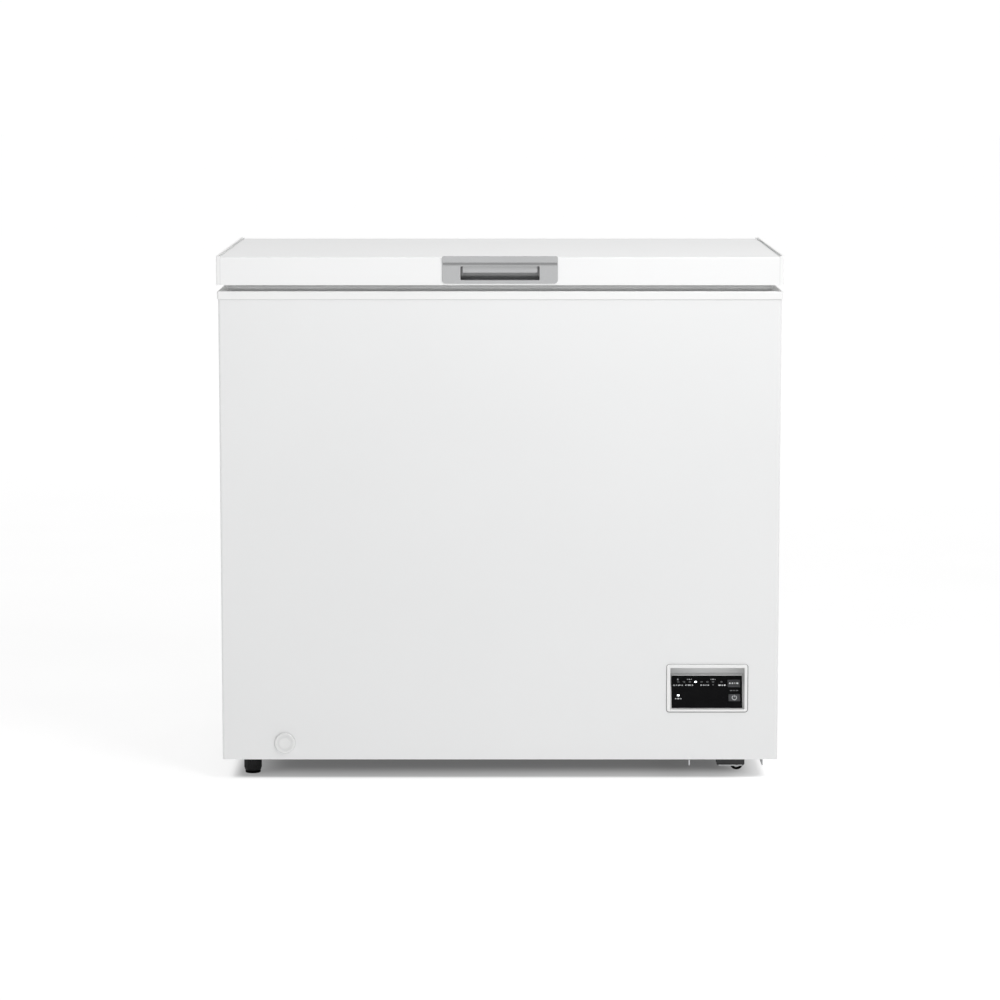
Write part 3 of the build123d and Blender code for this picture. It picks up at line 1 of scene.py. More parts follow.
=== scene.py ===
"""The looks of a white chest freezer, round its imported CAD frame. Metres, unless a comment says otherwise."""
import bpy
import bmesh
import json
import math
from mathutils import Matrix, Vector

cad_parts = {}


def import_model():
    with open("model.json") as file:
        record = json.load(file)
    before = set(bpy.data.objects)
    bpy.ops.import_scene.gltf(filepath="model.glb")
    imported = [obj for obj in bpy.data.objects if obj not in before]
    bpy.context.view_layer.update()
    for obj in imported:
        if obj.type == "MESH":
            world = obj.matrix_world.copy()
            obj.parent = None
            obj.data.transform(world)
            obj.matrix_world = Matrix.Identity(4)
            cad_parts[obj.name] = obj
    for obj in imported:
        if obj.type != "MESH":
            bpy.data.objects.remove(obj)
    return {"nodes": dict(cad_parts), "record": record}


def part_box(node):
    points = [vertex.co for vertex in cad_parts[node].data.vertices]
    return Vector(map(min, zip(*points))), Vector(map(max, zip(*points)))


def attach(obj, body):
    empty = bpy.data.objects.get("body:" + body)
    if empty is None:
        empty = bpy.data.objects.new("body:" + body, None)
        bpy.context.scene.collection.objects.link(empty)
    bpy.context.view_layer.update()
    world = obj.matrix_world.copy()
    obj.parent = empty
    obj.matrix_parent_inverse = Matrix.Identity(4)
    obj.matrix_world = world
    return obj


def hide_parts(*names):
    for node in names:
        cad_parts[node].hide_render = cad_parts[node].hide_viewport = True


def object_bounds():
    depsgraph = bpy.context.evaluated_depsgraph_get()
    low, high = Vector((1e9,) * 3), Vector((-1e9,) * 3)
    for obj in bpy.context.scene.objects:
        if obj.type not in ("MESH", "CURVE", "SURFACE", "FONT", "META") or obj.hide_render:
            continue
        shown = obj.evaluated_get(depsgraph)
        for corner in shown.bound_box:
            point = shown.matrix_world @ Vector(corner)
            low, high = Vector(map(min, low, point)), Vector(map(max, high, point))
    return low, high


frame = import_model()
cad_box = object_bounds()
nodes = frame["nodes"]
scene = bpy.context.scene
MM = 0.001


# ------------------------------------------------------------------ materials
class Graph:
    """A node material under construction, with short calls for the nodes it uses."""

    def __init__(self, name):
        self.material = bpy.data.materials.new(name)
        self.material.use_nodes = True
        self.tree = self.material.node_tree
        self.shader = self.tree.nodes["Principled BSDF"]
        self.place = self.tree.nodes.new("ShaderNodeTexCoord").outputs["Object"]

    def node(self, kind, **values):
        made = self.tree.nodes.new("ShaderNode" + kind)
        for key, value in values.items():
            setattr(made, key, value)
        return made

    def link(self, source, target):
        self.tree.links.new(source, target)

    def feed(self, socket, value):
        """A link, a number, a vector or a colour goes into a socket."""
        if isinstance(value, bpy.types.NodeSocket):
            self.link(value, socket)
        elif isinstance(value, tuple) and socket.type == "RGBA":
            socket.default_value = (*value, 1.0)
        else:
            socket.default_value = value

    def set(self, **values):
        """Constants on the shader's own sockets."""
        for key, value in values.items():
            self.feed(self.shader.inputs[key.replace("_", " ")], value)

    def math(self, operation, *values):
        made = self.node("Math", operation=operation)
        for socket, value in zip(made.inputs, values):
            self.feed(socket, value)
        return made.outputs["Value"]

    def vector_math(self, operation, *values):
        made = self.node("VectorMath", operation=operation)
        for socket, value in zip(made.inputs, values):
            self.feed(socket, value)
        return made.outputs["Vector"]

    def parts(self, vector):
        """The X, Y and Z of a vector."""
        made = self.node("SeparateXYZ")
        self.link(vector, made.inputs["Vector"])
        return made.outputs

    def noise(self, scale, detail=3.0, roughness=0.5, stretch=None):
        made = self.node("TexNoise")
        made.inputs["Scale"].default_value = scale
        made.inputs["Detail"].default_value = detail
        made.inputs["Roughness"].default_value = roughness
        place = self.place
        if stretch:
            mapping = self.node("Mapping")
            mapping.inputs["Scale"].default_value = stretch
            self.link(place, mapping.inputs["Vector"])
            place = mapping.outputs["Vector"]
        self.link(place, made.inputs["Vector"])
        return made.outputs["Fac"]

    def cells(self, scale, feature="F1", output="Distance", randomness=1.0):
        made = self.node("TexVoronoi", feature=feature)
        made.inputs["Scale"].default_value = scale
        made.inputs["Randomness"].default_value = randomness
        self.link(self.place, made.inputs["Vector"])
        return made.outputs[output]

    def ramp(self, source, *stops):
        """Stops are (position, colour), where a colour is a grey level or an RGB tuple."""
        made = self.node("ValToRGB")
        elements = made.color_ramp.elements
        while len(elements) < len(stops):
            elements.new(0.5)
        for element, (position, colour) in zip(elements, stops):
            element.position = position
            element.color = (*colour, 1.0) if isinstance(colour, tuple) else (colour, colour, colour, 1.0)
        self.link(source, made.inputs["Fac"])
        return made.outputs["Color"]

    def blend(self, share, first, second):
        made = self.node("Mix", data_type="RGBA")
        colours = [socket for socket in made.inputs if socket.type == "RGBA"]
        for socket, value in zip((made.inputs["Factor"], *colours), (share, first, second)):
            self.feed(socket, value)
        return next(socket for socket in made.outputs if socket.type == "RGBA")

    def span(self, source, low, high):
        """A 0 to 1 value turned into a value between low and high."""
        made = self.node("MapRange")
        made.inputs["To Min"].default_value = low
        made.inputs["To Max"].default_value = high
        self.link(source, made.inputs["Value"])
        return made.outputs["Result"]

    def bump(self, height, distance, strength, below=None):
        made = self.node("Bump")
        made.inputs["Distance"].default_value = distance
        made.inputs["Strength"].default_value = strength
        self.link(height, made.inputs["Height"])
        if below is not None:
            self.link(below, made.inputs["Normal"])
        return made.outputs["Normal"]

    def finish(self, colour, rough, normal=None):
        for source, name in ((colour, "Base Color"), (rough, "Roughness"), (normal, "Normal")):
            if source is not None:
                self.link(source, self.shader.inputs[name])
        return self.material


def smooth_step(tree, source, low, high, low_value, high_value):
    """A value that moves smoothly from low_value to high_value as the source goes from low to high."""
    fade = tree.nodes.new("ShaderNodeMapRange")
    fade.interpolation_type = "SMOOTHSTEP"
    for name, value in (("From Min", low), ("From Max", high), ("To Min", low_value), ("To Max", high_value)):
        fade.inputs[name].default_value = value
    tree.links.new(source, fade.inputs["Value"])
    return fade.outputs["Result"]


def tinted(colour, share):
    return tuple(min(1.0, c * share) for c in colour)


def plain(name, colour, rough, vary=0.02, grain=900.0, grain_depth=2e-5, **constants):
    """A moulded or painted finish: a slow tint variation, a patchy roughness and a fine surface grain."""
    g = Graph(name)
    g.set(**constants)
    slow = g.noise(4.0, detail=4.0)
    tint = g.ramp(slow, (0.35, tinted(colour, 1 - vary)), (0.65, tinted(colour, 1 + vary)))
    patches = g.noise(35.0, detail=5.0, roughness=0.6)
    roughness = g.span(patches, rough - 0.05, rough + 0.05)
    return g.finish(tint, roughness, g.bump(g.noise(grain, detail=2.0), grain_depth, 0.6))


def painted_steel(name, white):
    """Pre-painted white sheet: an even gloss with a faint orange peel and a slight hand-long waviness."""
    g = Graph(name)
    g.set(IOR=1.5, Coat_Weight=0.25, Coat_Roughness=0.12)
    tint = g.ramp(g.noise(2.2), (0.3, tinted(white, 0.99)), (0.7, tinted(white, 1.01)))
    roughness = g.span(g.noise(18.0, detail=5.0, roughness=0.6), 0.27, 0.34)
    waves = g.bump(g.noise(2.6, detail=1.0), 0.0012, 0.35)
    peel = g.bump(g.noise(1100.0, detail=1.5), 1.2e-5, 0.5, below=waves)
    return g.finish(tint, roughness, peel)


BEZEL_FACE_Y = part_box("control_bezel")[0].y
RECESS_DEPTHS = (0.0022, 0.0036)             # behind the frame's face, where white turns to painted recess shade
PLATE_TOP_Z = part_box("control_fascia")[1].z
RECESS_DROPS = (0.02, 0.002)                 # below the plate's top, where the side walls turn to painted shade
LOW_WALL_SHADE = 0.2                          # how much painted shade the walls keep at the recess's bottom


def white_with_painted_recess_shade():
    """The control frame's white plastic, with painted shade up inside its recess: greyer deep behind the face
    and near the plate's top.
    """
    g = Graph("white_frame_with_painted_recess_shade")
    place = g.parts(g.place)
    depths = (BEZEL_FACE_Y + depth for depth in RECESS_DEPTHS)
    inside = smooth_step(g.tree, place["Y"], *depths, 0.0, 1.0)
    heights = (PLATE_TOP_Z - drop for drop in RECESS_DROPS)
    upper = smooth_step(g.tree, place["Z"], *heights, LOW_WALL_SHADE, 1.0)
    slow = g.noise(20.0)
    face = g.ramp(slow, (0.35, (0.87, 0.872, 0.868)), (0.65, (0.89, 0.892, 0.888)))
    # the recess's grey is painted shade, not the plastic's own colour
    recess_shade = g.ramp(slow, (0.35, (0.6, 0.603, 0.602)), (0.65, (0.63, 0.633, 0.632)))
    colour = g.blend(g.math("MULTIPLY", inside, upper), face, recess_shade)
    roughness = g.span(g.noise(50.0, detail=4.0), 0.36, 0.46)
    return g.finish(colour, roughness, g.bump(g.noise(900.0, detail=2.0), 2e-5, 0.6))


def galvanised():
    """Zinc-coated steel with its frost-like spangle."""
    g = Graph("galvanised_steel_spangle")
    g.set(Metallic=0.92)
    spangle = g.cells(75.0, output="Color")
    fine = g.noise(500.0, stretch=(1.0, 1.0, 4.0))
    tint = g.ramp(spangle, (0.1, (0.48, 0.49, 0.5)), (0.9, (0.6, 0.61, 0.62)))
    tint = g.blend(0.15, tint, g.ramp(fine, (0.3, 0.35), (0.7, 0.7)))
    roughness = g.span(g.ramp(spangle, (0.0, 0.0), (1.0, 1.0)), 0.34, 0.5)
    return g.finish(tint, roughness, g.bump(fine, 1.5e-5, 0.5))


def embossed_aluminium():
    """Stucco-embossed sheet: small soft pebbles pressed into a satin metal."""
    g = Graph("stucco_embossed_aluminium")
    g.set(Metallic=0.72)
    pebbles = g.cells(210.0, feature="SMOOTH_F1")
    slow = g.noise(9.0, detail=4.0)
    tint = g.ramp(slow, (0.3, (0.82, 0.825, 0.83)), (0.7, (0.88, 0.885, 0.89)))
    roughness = g.span(g.noise(60.0, detail=4.0), 0.3, 0.42)
    return g.finish(tint, roughness, g.bump(pebbles, 0.0007, 0.55))


def silver_plastic(name, share=1.0):
    """Silver-grey moulded plastic with a fine metal flake, darker where the share is below 1, which makes the
    handle step's painted shade.
    """
    g = Graph(name)
    g.set(Metallic=0.4, IOR=1.48, Coat_Weight=0.1, Coat_Roughness=0.25)
    flake = g.cells(2600.0, output="Color")
    slow = g.noise(7.0)
    tint = g.ramp(slow, (0.3, tinted((0.47, 0.475, 0.48), share)), (0.7, tinted((0.5, 0.505, 0.51), share)))
    tint = g.blend(0.12, tint, g.ramp(flake, (0.2, 0.33 * share), (0.8, 0.66 * share)))
    roughness = g.span(g.noise(50.0, detail=4.0), 0.34, 0.42)
    return g.finish(tint, roughness, g.bump(g.noise(1500.0, detail=2.0), 1.5e-5, 0.5))


def gloss_black():
    """The control plate's black gloss, with faint smudges."""
    g = Graph("gloss_black_fascia")
    g.set(IOR=1.3)
    smudges = g.noise(60.0, detail=5.0, roughness=0.65)
    tint = g.ramp(smudges, (0.3, (0.003, 0.003, 0.0035)), (0.8, (0.005, 0.005, 0.0055)))
    return g.finish(tint, g.span(smudges, 0.14, 0.26), g.bump(g.noise(300.0, detail=2.0), 8e-6, 0.4))


def copper():
    """Drawn tube, brown where it has tarnished."""
    g = Graph("copper_tube")
    g.set(Metallic=1.0)
    stain = g.noise(70.0, detail=6.0, roughness=0.65)
    tint = g.ramp(stain, (0.3, (0.33, 0.13, 0.07)), (0.5, (0.62, 0.3, 0.18)), (0.75, (0.72, 0.4, 0.26)))
    return g.finish(tint, g.span(stain, 0.42, 0.26), g.bump(g.noise(900.0, detail=2.0), 1e-5, 0.4))


def bright_steel():
    """Zinc-plated fasteners and springs, finely brushed."""
    g = Graph("zinc_plated_fastener")
    g.set(Metallic=1.0)
    brushed = g.noise(600.0, stretch=(1.0, 1.0, 6.0))
    tint = g.ramp(brushed, (0.3, (0.5, 0.5, 0.49)), (0.7, (0.68, 0.68, 0.67)))
    return g.finish(tint, g.span(brushed, 0.28, 0.42), g.bump(brushed, 1e-5, 0.4))


def foam():
    """Yellowed polyurethane with its open cells."""
    g = Graph("polyurethane_foam")
    cells = g.cells(500.0, feature="SMOOTH_F1")
    slow = g.noise(14.0, detail=4.0)
    tint = g.ramp(slow, (0.3, (0.78, 0.66, 0.36)), (0.7, (0.86, 0.76, 0.48)))
    return g.finish(tint, g.span(slow, 0.8, 0.95), g.bump(cells, 0.0004, 0.8))


def circuit_board():
    """Green board with a lighter pattern of tracks."""
    g = Graph("green_circuit_board")
    g.set(IOR=1.5)
    tracks = g.cells(320.0, randomness=0.2)
    tint = g.ramp(tracks, (0.25, (0.03, 0.16, 0.06)), (0.35, (0.05, 0.26, 0.1)))
    return g.finish(tint, g.span(tracks, 0.3, 0.4), g.bump(tracks, 5e-5, 0.5))


def lamp(name, colour, strength):
    """A small clear lens with light behind it."""
    g = Graph(name)
    g.set(IOR=1.49, Emission_Color=colour, Emission_Strength=strength)
    frost = g.noise(900.0)
    tint = g.ramp(frost, (0.3, tinted(colour, 0.85)), (0.7, colour))
    return g.finish(tint, g.span(frost, 0.2, 0.35), g.bump(frost, 1e-5, 0.5))


WHITE_STEEL = painted_steel("white_prepainted_steel", (0.84, 0.844, 0.845))
LID_STEEL = painted_steel("white_lid_steel", (0.885, 0.888, 0.888))
# a greyer white that paints the shade in the drain cap's groove
CAP_SHADE = plain("painted_cap_groove_shade", (0.79, 0.793, 0.79), 0.6, vary=0.01)
CAP_WHITE = plain("white_drain_cap", (0.83, 0.833, 0.83), 0.42, vary=0.008, grain=700.0)
# white frame plastic with painted shade inside its recess
BEZEL_WHITE_AND_SHADE = white_with_painted_recess_shade()
WHITE_PLASTIC = plain("white_moulding", (0.88, 0.882, 0.878), 0.38, vary=0.008, grain=700.0)
LID_LINER_PLASTIC = plain("white_vacuum_formed_panel", (0.84, 0.845, 0.84), 0.42, vary=0.012, grain=260.0,
                          grain_depth=6e-5)
SILVER = silver_plastic("silver_grey_moulding")
# a darker copy of the silver: painted shade in the handle's step
SILVER_PAINTED_SHADE = silver_plastic("silver_painted_step_shade", 0.66)
FASCIA = gloss_black()
KEY_GREY = plain("dark_grey_key", (0.055, 0.056, 0.06), 0.42, vary=0.05, grain=1400.0)
DARK_PLASTIC = plain("black_moulding", (0.006, 0.006, 0.0065), 0.4, vary=0.12, grain=600.0, grain_depth=4e-5,
                     IOR=1.3)
LIGHT_GREY = plain("light_grey_wheel", (0.74, 0.745, 0.75), 0.4, vary=0.03)
GALVANISED = galvanised()
ALUMINIUM = embossed_aluminium()
BLACK_STEEL = plain("black_enamelled_steel", (0.014, 0.014, 0.015), 0.36, vary=0.15, grain=300.0,
                    grain_depth=4e-5, Coat_Weight=0.2)
COPPER = copper()
BRIGHT = bright_steel()
FOAM = foam()
SEAL = plain("grey_magnetic_seal", (0.66, 0.665, 0.665), 0.55, vary=0.03, grain=500.0, grain_depth=3e-5)
# light grey for the lid's front seams and the end caps' bead, and for painted shadow lines under the collar and
# round the drain cap
PALE_SEALANT_AND_SHADE = plain("light_sealant_and_painted_shade", (0.67, 0.675, 0.675), 0.6, vary=0.03, grain=400.0, grain_depth=4e-5)
# dark grey that paints the shadow round the control frame
DARK_PAINTED_SHADOW = plain("dark_painted_shadow", (0.05, 0.05, 0.052), 0.8, vary=0.1, grain=700.0, grain_depth=5e-5)
BLACK_RUBBER = plain("black_rubber", (0.002, 0.002, 0.002), 0.7, vary=0.2, grain=450.0, grain_depth=6e-5,
                     IOR=1.1)
WIRE = plain("white_epoxy_wire", (0.82, 0.825, 0.82), 0.3, vary=0.015, grain=500.0, grain_depth=4e-5,
             Coat_Weight=0.3)
BOARD = circuit_board()
PRINT_DIM = plain("dim_grey_print", (0.12, 0.123, 0.126), 0.5, vary=0.03)
LENS = lamp("dim_lamp_lens", (0.1, 0.105, 0.11), 0.01)
LIT = lamp("lit_lamp_lens", (0.9, 0.97, 1.0), 3.0)
PRINT = plain("pale_grey_print", (0.55, 0.56, 0.57), 0.5)
PRINT_WHITE = plain("white_print", (0.85, 0.86, 0.87), 0.5)

SLOT_LOOK = {
    "white_steel": WHITE_STEEL, "white_plastic": WHITE_PLASTIC, "silver_grey_plastic": SILVER,
    "dark_plastic": DARK_PLASTIC, "light_grey_plastic": LIGHT_GREY, "gloss_black_plastic": FASCIA,
    "key_grey_plastic": KEY_GREY, "lamp_lens": LENS, "circuit_board": BOARD,
    "embossed_aluminium": ALUMINIUM, "galvanised_steel": GALVANISED, "black_painted_steel": BLACK_STEEL,
    "copper": COPPER, "bright_steel": BRIGHT, "foam": FOAM, "grey_seal": SEAL,
    "black_rubber": BLACK_RUBBER, "black_tyre": BLACK_RUBBER, "white_coated_wire": WIRE,
}
OWN_LOOK = {
    "lid_liner": LID_LINER_PLASTIC, "lid_skin": LID_STEEL, "drain_cap": CAP_WHITE,
    "control_bezel": BEZEL_WHITE_AND_SHADE,
}
for part in frame["record"]["subparts"]:
    for slot in nodes[part["node"]].material_slots:
        slot.material = OWN_LOOK.get(part["node"], SLOT_LOOK[part["material_slot"]])


# ------------------------------------------------------------------ added pieces
SIDES = ((-1, "left"), (1, "right"))


def piece(name, mesh, material, body):
    """A new object from a mesh, with its finish, that moves with a body."""
    made = bpy.data.objects.new(name, mesh)
    scene.collection.objects.link(made)
    mesh.materials.append(material)
    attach(made, body)
    return made


def mesh_of(name, bm, smooth=False):
    bmesh.ops.recalc_face_normals(bm, faces=bm.faces)
    mesh = bpy.data.meshes.new(name)
    bm.to_mesh(mesh)
    bm.free()
    if smooth:
        for face in mesh.polygons:
            face.use_smooth = True
    return mesh


def joined(bm, loop, following):
    """A band of four-sided faces between two closed loops of vertices."""
    for i in range(len(loop)):
        j = (i + 1) % len(loop)
        bm.faces.new((loop[i], following[i], following[j], loop[j]))


def rounded_path(low, high, radius, steps=12):
    """Points and outward directions round a rounded rectangle, or a circle where the radius fills it."""
    path = []
    corners = ((high[0], high[1], 0), (low[0], high[1], 90), (low[0], low[1], 180), (high[0], low[1], 270))
    for x, y, start in corners:
        toward = Vector((-1 if x == high[0] else 1, -1 if y == high[1] else 1))
        centre = Vector((x, y)) + radius * toward
        for step in range(steps + 1):
            angle = math.radians(start + 90 * step / steps)
            outward = Vector((math.cos(angle), math.sin(angle)))
            path.append((centre + radius * outward, outward))
    return [spot for spot, before in zip(path, path[-1:] + path[:-1]) if (spot[0] - before[0]).length > 1e-6]


def circle_path(low, high):
    return rounded_path(low, high, (high[0] - low[0]) / 2 - 1e-6, steps=16)


def swept(name, path, section, place):
    """A closed section, as insets and heights in millimetres, carried round a path."""
    bm = bmesh.new()
    loops = [[bm.verts.new(place(point - outward * inset * MM, up * MM)) for inset, up in section]
             for point, outward in path]
    for loop, following in zip(loops, loops[1:] + loops[:1]):
        joined(bm, loop, following)
    return mesh_of(name, bm)


def slab(name, low, high, material, body, soft):
    """A thin strip with softened edges between two corners."""
    bm = bmesh.new()
    bmesh.ops.create_cube(bm, size=1.0)
    for v in bm.verts:
        v.co = Vector(low[i] + (high[i] - low[i]) * (v.co[i] + 0.5) for i in range(3))
    bmesh.ops.bevel(bm, geom=list(bm.edges), offset=soft, segments=2, affect="EDGES")
    return piece(name, mesh_of(name, bm), material, body)


# half of the lid seal's section, from its foot past the neck and the bellows to its lip, in millimetres
SEAL_OUTER_SIDE = [
    (3.6, 0.0), (2.6, 0.2), (2.2, 0.7), (2.2, 1.9), (2.7, 2.4), (1.1, 2.7), (0.3, 3.2), (0.0, 3.9),
    (0.0, 5.4), (0.35, 6.0), (0.95, 6.3), (0.35, 6.6), (0.0, 7.2), (0.0, 8.0), (0.5, 8.6), (2.6, 8.9),
    (3.4, 9.3), (3.4, 10.2), (4.0, 10.6),
]
SEAL_WIDTH = 16.0                # millimetres
SEAL_CORNER = 0.0185


def lid_seal():
    """The seal's section, with its magnet pocket, neck and bellows, carried round the lid."""
    low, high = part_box("lid_gasket")
    section = SEAL_OUTER_SIDE + [(SEAL_WIDTH - inset, up) for inset, up in reversed(SEAL_OUTER_SIDE)]
    path = rounded_path(low, high, SEAL_CORNER)
    mesh = swept("lid_seal", path, section, lambda p, up: Vector((p.x, p.y, low.z + up)))
    made = piece("lid_seal", mesh, SEAL, "lid")
    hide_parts("lid_gasket")


CAP_GROOVE = 0.0016              # how far the end caps' groove lies below the lid's top
BEAD_SPAN = (0.6, 3.8)           # from the skin's edge into the groove, in millimetres
BEAD_END_GAP = 3.4               # millimetres
BEAD_HEIGHT = 0.6                # millimetres
BEAD_SAG = 0.35                  # how hollow the bead's face is, in millimetres
BEAD_STEPS = 8


def end_cap_bead_and_shade():
    """A grey bead along each end cap's groove, with a hollow face: a sealant bead whose grey also paints the
    groove's shade.
    """
    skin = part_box("lid_skin")[1]
    floor_z = skin.z - CAP_GROOVE
    x_from, x_to = (skin.x + across * MM for across in BEAD_SPAN)
    for side, word in SIDES:
        low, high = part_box(word + "_lid_end_cap")
        rows = []
        bm = bmesh.new()
        for y in (low.y + BEAD_END_GAP * MM, high.y - BEAD_END_GAP * MM):
            row = [bm.verts.new((side * x_from, y, floor_z)), bm.verts.new((side * x_to, y, floor_z))]
            for step in range(BEAD_STEPS + 1):
                share = step / BEAD_STEPS
                up = BEAD_HEIGHT - BEAD_SAG * math.sin(math.pi * share)
                row.append(bm.verts.new((side * (x_to + (x_from - x_to) * share), y, floor_z + up * MM)))
            rows.append(row)
        joined(bm, *rows)
        bm.faces.new(rows[0])
        bm.faces.new(rows[1][::-1])
        # the bead's grey is partly painted shade in the groove
        name = word + "_lid_edge_bead_shade"
        piece(name, mesh_of(name, bm), PALE_SEALANT_AND_SHADE, "lid")


CASING_FRONT_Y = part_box("outer_shell")[0].y
CASING_CORNER = 0.0012
COLLAR_EDGE_Z = 0.781            # the collar's lower edge on the casing
# sections as insets from the edge, negative outside it, and heights off the surface, in millimetres
COLLAR_SHADOW_LINE = [(0.02, 0.0), (-0.45, 0.15), (-0.6, 0.8), (0.02, 0.8)]
FRAME_SHADOW_LINE = [(-0.02, 0.0), (-0.85, 0.0), (-0.75, 0.5), (-0.02, 0.6)]
FRAME_SHADOW_SHIFT = (0.15, -0.55)  # set off right and down, so that the painted shadow shows most under the frame, in millimetres
FRAME_CORNER = 0.004


def casing_painted_shadows():
    """Painted shadow lines: a pale one under the collar's overhang and a dark one round the control frame, set
    off to show most under it.
    """
    low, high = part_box("outer_shell")
    path = rounded_path((low.x, low.y), (high.x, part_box("back_panel")[1].y), CASING_CORNER, steps=4)
    # a pale line just under the collar: painted shadow of its overhang
    foot_z = COLLAR_EDGE_Z - COLLAR_SHADOW_LINE[-1][1] * MM
    mesh = swept("collar_painted_shadow_line", path, COLLAR_SHADOW_LINE, lambda p, up: Vector((p.x, p.y, foot_z + up)))
    piece("collar_painted_shadow_line", mesh, PALE_SEALANT_AND_SHADE, "cabinet")

    # a dark outline round the control frame: painted shadow, set off downwards
    low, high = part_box("control_bezel")
    path = rounded_path((low.x, low.z), (high.x, high.z), FRAME_CORNER)
    right, up_by = (shift * MM for shift in FRAME_SHADOW_SHIFT)
    mesh = swept("panel_frame_painted_shadow", path, FRAME_SHADOW_LINE,
                 lambda p, out: Vector((p.x + right, CASING_FRONT_Y - out, p.y + up_by)))
    piece("panel_frame_painted_shadow", mesh, DARK_PAINTED_SHADOW, "cabinet")


CAP_SHADOW_RING = [(-0.1, 0.0), (-0.8, 0.0), (-0.65, 0.35), (-0.1, 0.4)]
CAP_SHADOW_SHIFT = -0.25           # the painted shadow ring is set off left and down, in millimetres
CAP_DISH = [(0.0, 0.0), (3.8, 0.0), (3.6, 0.1), (1.9, 0.2), (0.2, 0.1)]
CAP_DISH_RADIUS = 0.0128
CAP_FACE_DEPTH = 0.75            # the cap's dished face behind its rim, in millimetres


def drain_cap_painted_shade():
    """A painted shadow ring round the drain cap, set off left and down, and painted shade in the groove of its
    face.
    """
    low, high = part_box("drain_cap")
    shift = CAP_SHADOW_SHIFT * MM
    mesh = swept("drain_cap_painted_shadow_ring", circle_path((low.x, low.z), (high.x, high.z)), CAP_SHADOW_RING,
                 lambda p, out: Vector((p.x + shift, CASING_FRONT_Y - out, p.y + shift)))
    piece("drain_cap_painted_shadow_ring", mesh, PALE_SEALANT_AND_SHADE, "cabinet")

    middle_x, middle_z = (low.x + high.x) / 2, (low.z + high.z) / 2
    path = circle_path((middle_x - CAP_DISH_RADIUS, middle_z - CAP_DISH_RADIUS),
                       (middle_x + CAP_DISH_RADIUS, middle_z + CAP_DISH_RADIUS))
    mesh = swept("drain_cap_groove_painted_shade", path, CAP_DISH,
                 lambda p, out: Vector((p.x, low.y + CAP_FACE_DEPTH * MM - out, p.y)))
    piece("drain_cap_groove_painted_shade", mesh, CAP_SHADE, "drain_cap")


# the strips, in millimetres except for HANDLE_STEP_Z, which is in metres
HANDLE_STEP = 2.55               # how far the handle's step lies behind its top strip
HANDLE_STEP_Z = (0.8354, 0.8393)
STEP_SHADE_END_GAP = 1.2
STEP_SHADE_DEPTHS = (-0.25, 0.1)      # either side of the step's face
SEAM_SPAN = (-0.15, 0.4)         # either side of the skin's edge
SEAM_DEPTHS = (-0.1, 0.6)        # either side of the lid's front
SEAM_END_GAPS = (1.5, 3.0)       # below and above the seam
AXLE_REACH = 1.0                 # how far an axle's end stands out of its bracket's cheek
HEM_END_GAP = 3.2
HEM_THICKNESS = 0.9
HEM_HEIGHT = 1.9


def handle_step_painted_shade():
    """A darker silver strip in the handle's step, which paints the shade under the top strip."""
    low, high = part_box("lid_handle")
    step = low.y + HANDLE_STEP * MM
    gap = STEP_SHADE_END_GAP * MM
    front, back = (step + depth * MM for depth in STEP_SHADE_DEPTHS)
    # the strip's darker silver is painted shade
    slab("handle_step_painted_shade", (low.x + gap, front, HANDLE_STEP_Z[0]), (high.x - gap, back, HANDLE_STEP_Z[1]),
         SILVER_PAINTED_SHADE, "lid", soft=1e-4)


def lid_front_seams():
    """The seams between the lid's front and its end caps."""
    low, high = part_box("lid_skin")
    front, back = (low.y + depth * MM for depth in SEAM_DEPTHS)
    bottom, top = low.z + SEAM_END_GAPS[0] * MM, high.z - SEAM_END_GAPS[1] * MM
    for side, word in SIDES:
        left, right = sorted(side * (high.x + across * MM) for across in SEAM_SPAN)
        slab(word + "_lid_front_seam", (left, front, bottom), (right, back, top),
             PALE_SEALANT_AND_SHADE, "lid", soft=5e-5)


def bracket_hems():
    """The folded hems along the bottom of the wheel brackets."""
    for side, word in ((-1, "front"), (1, "rear")):
        low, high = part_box(word + "_caster_bracket")
        cheek = (low.y if side < 0 else high.y) - side * AXLE_REACH * MM
        front, back = sorted((cheek, cheek + side * HEM_THICKNESS * MM))
        gap = HEM_END_GAP * MM
        slab(word + "_caster_bracket_hem", (low.x + gap, front, low.z),
             (high.x - gap, back, low.z + HEM_HEIGHT * MM),
             LIGHT_GREY, "cabinet", soft=3e-4)


# ------------------------------------------------------------------ the control panel's print and lamps
# All of it is in millimetres across, up and out from the plate's lower left corner.
PLATE_HEIGHT = 52.8
PLATE_WIDTH = 114.6
LIP_INSET = 0.3
LIP_SPAN = (52.95, 54.3)
LIP_HEIGHTS = (-0.2, 0.25)
INK = 0.06                       # how far print stands off its surface
SUNK = 0.02                      # how far it starts below a key's or a lens's top
KEY_TOP = 0.6
LENS_TOP = 0.25
LAMP_HALF_WIDTH = 2.1
LAMP_OVAL = 0.66                 # a lit lamp's height to its width
LAMP_RINGS = (1.0, 0.96, 0.8, 0.5)
LAMP_SIDES = 24
LAMP_ROW = 42.5
LAMPS_LIT = ((39.4, LAMP_ROW), (11.2, 20.5))
LAMPS_OFF = (11.0, 20.5, 30.1, 49.1, 58.5, 67.7, 81.5)
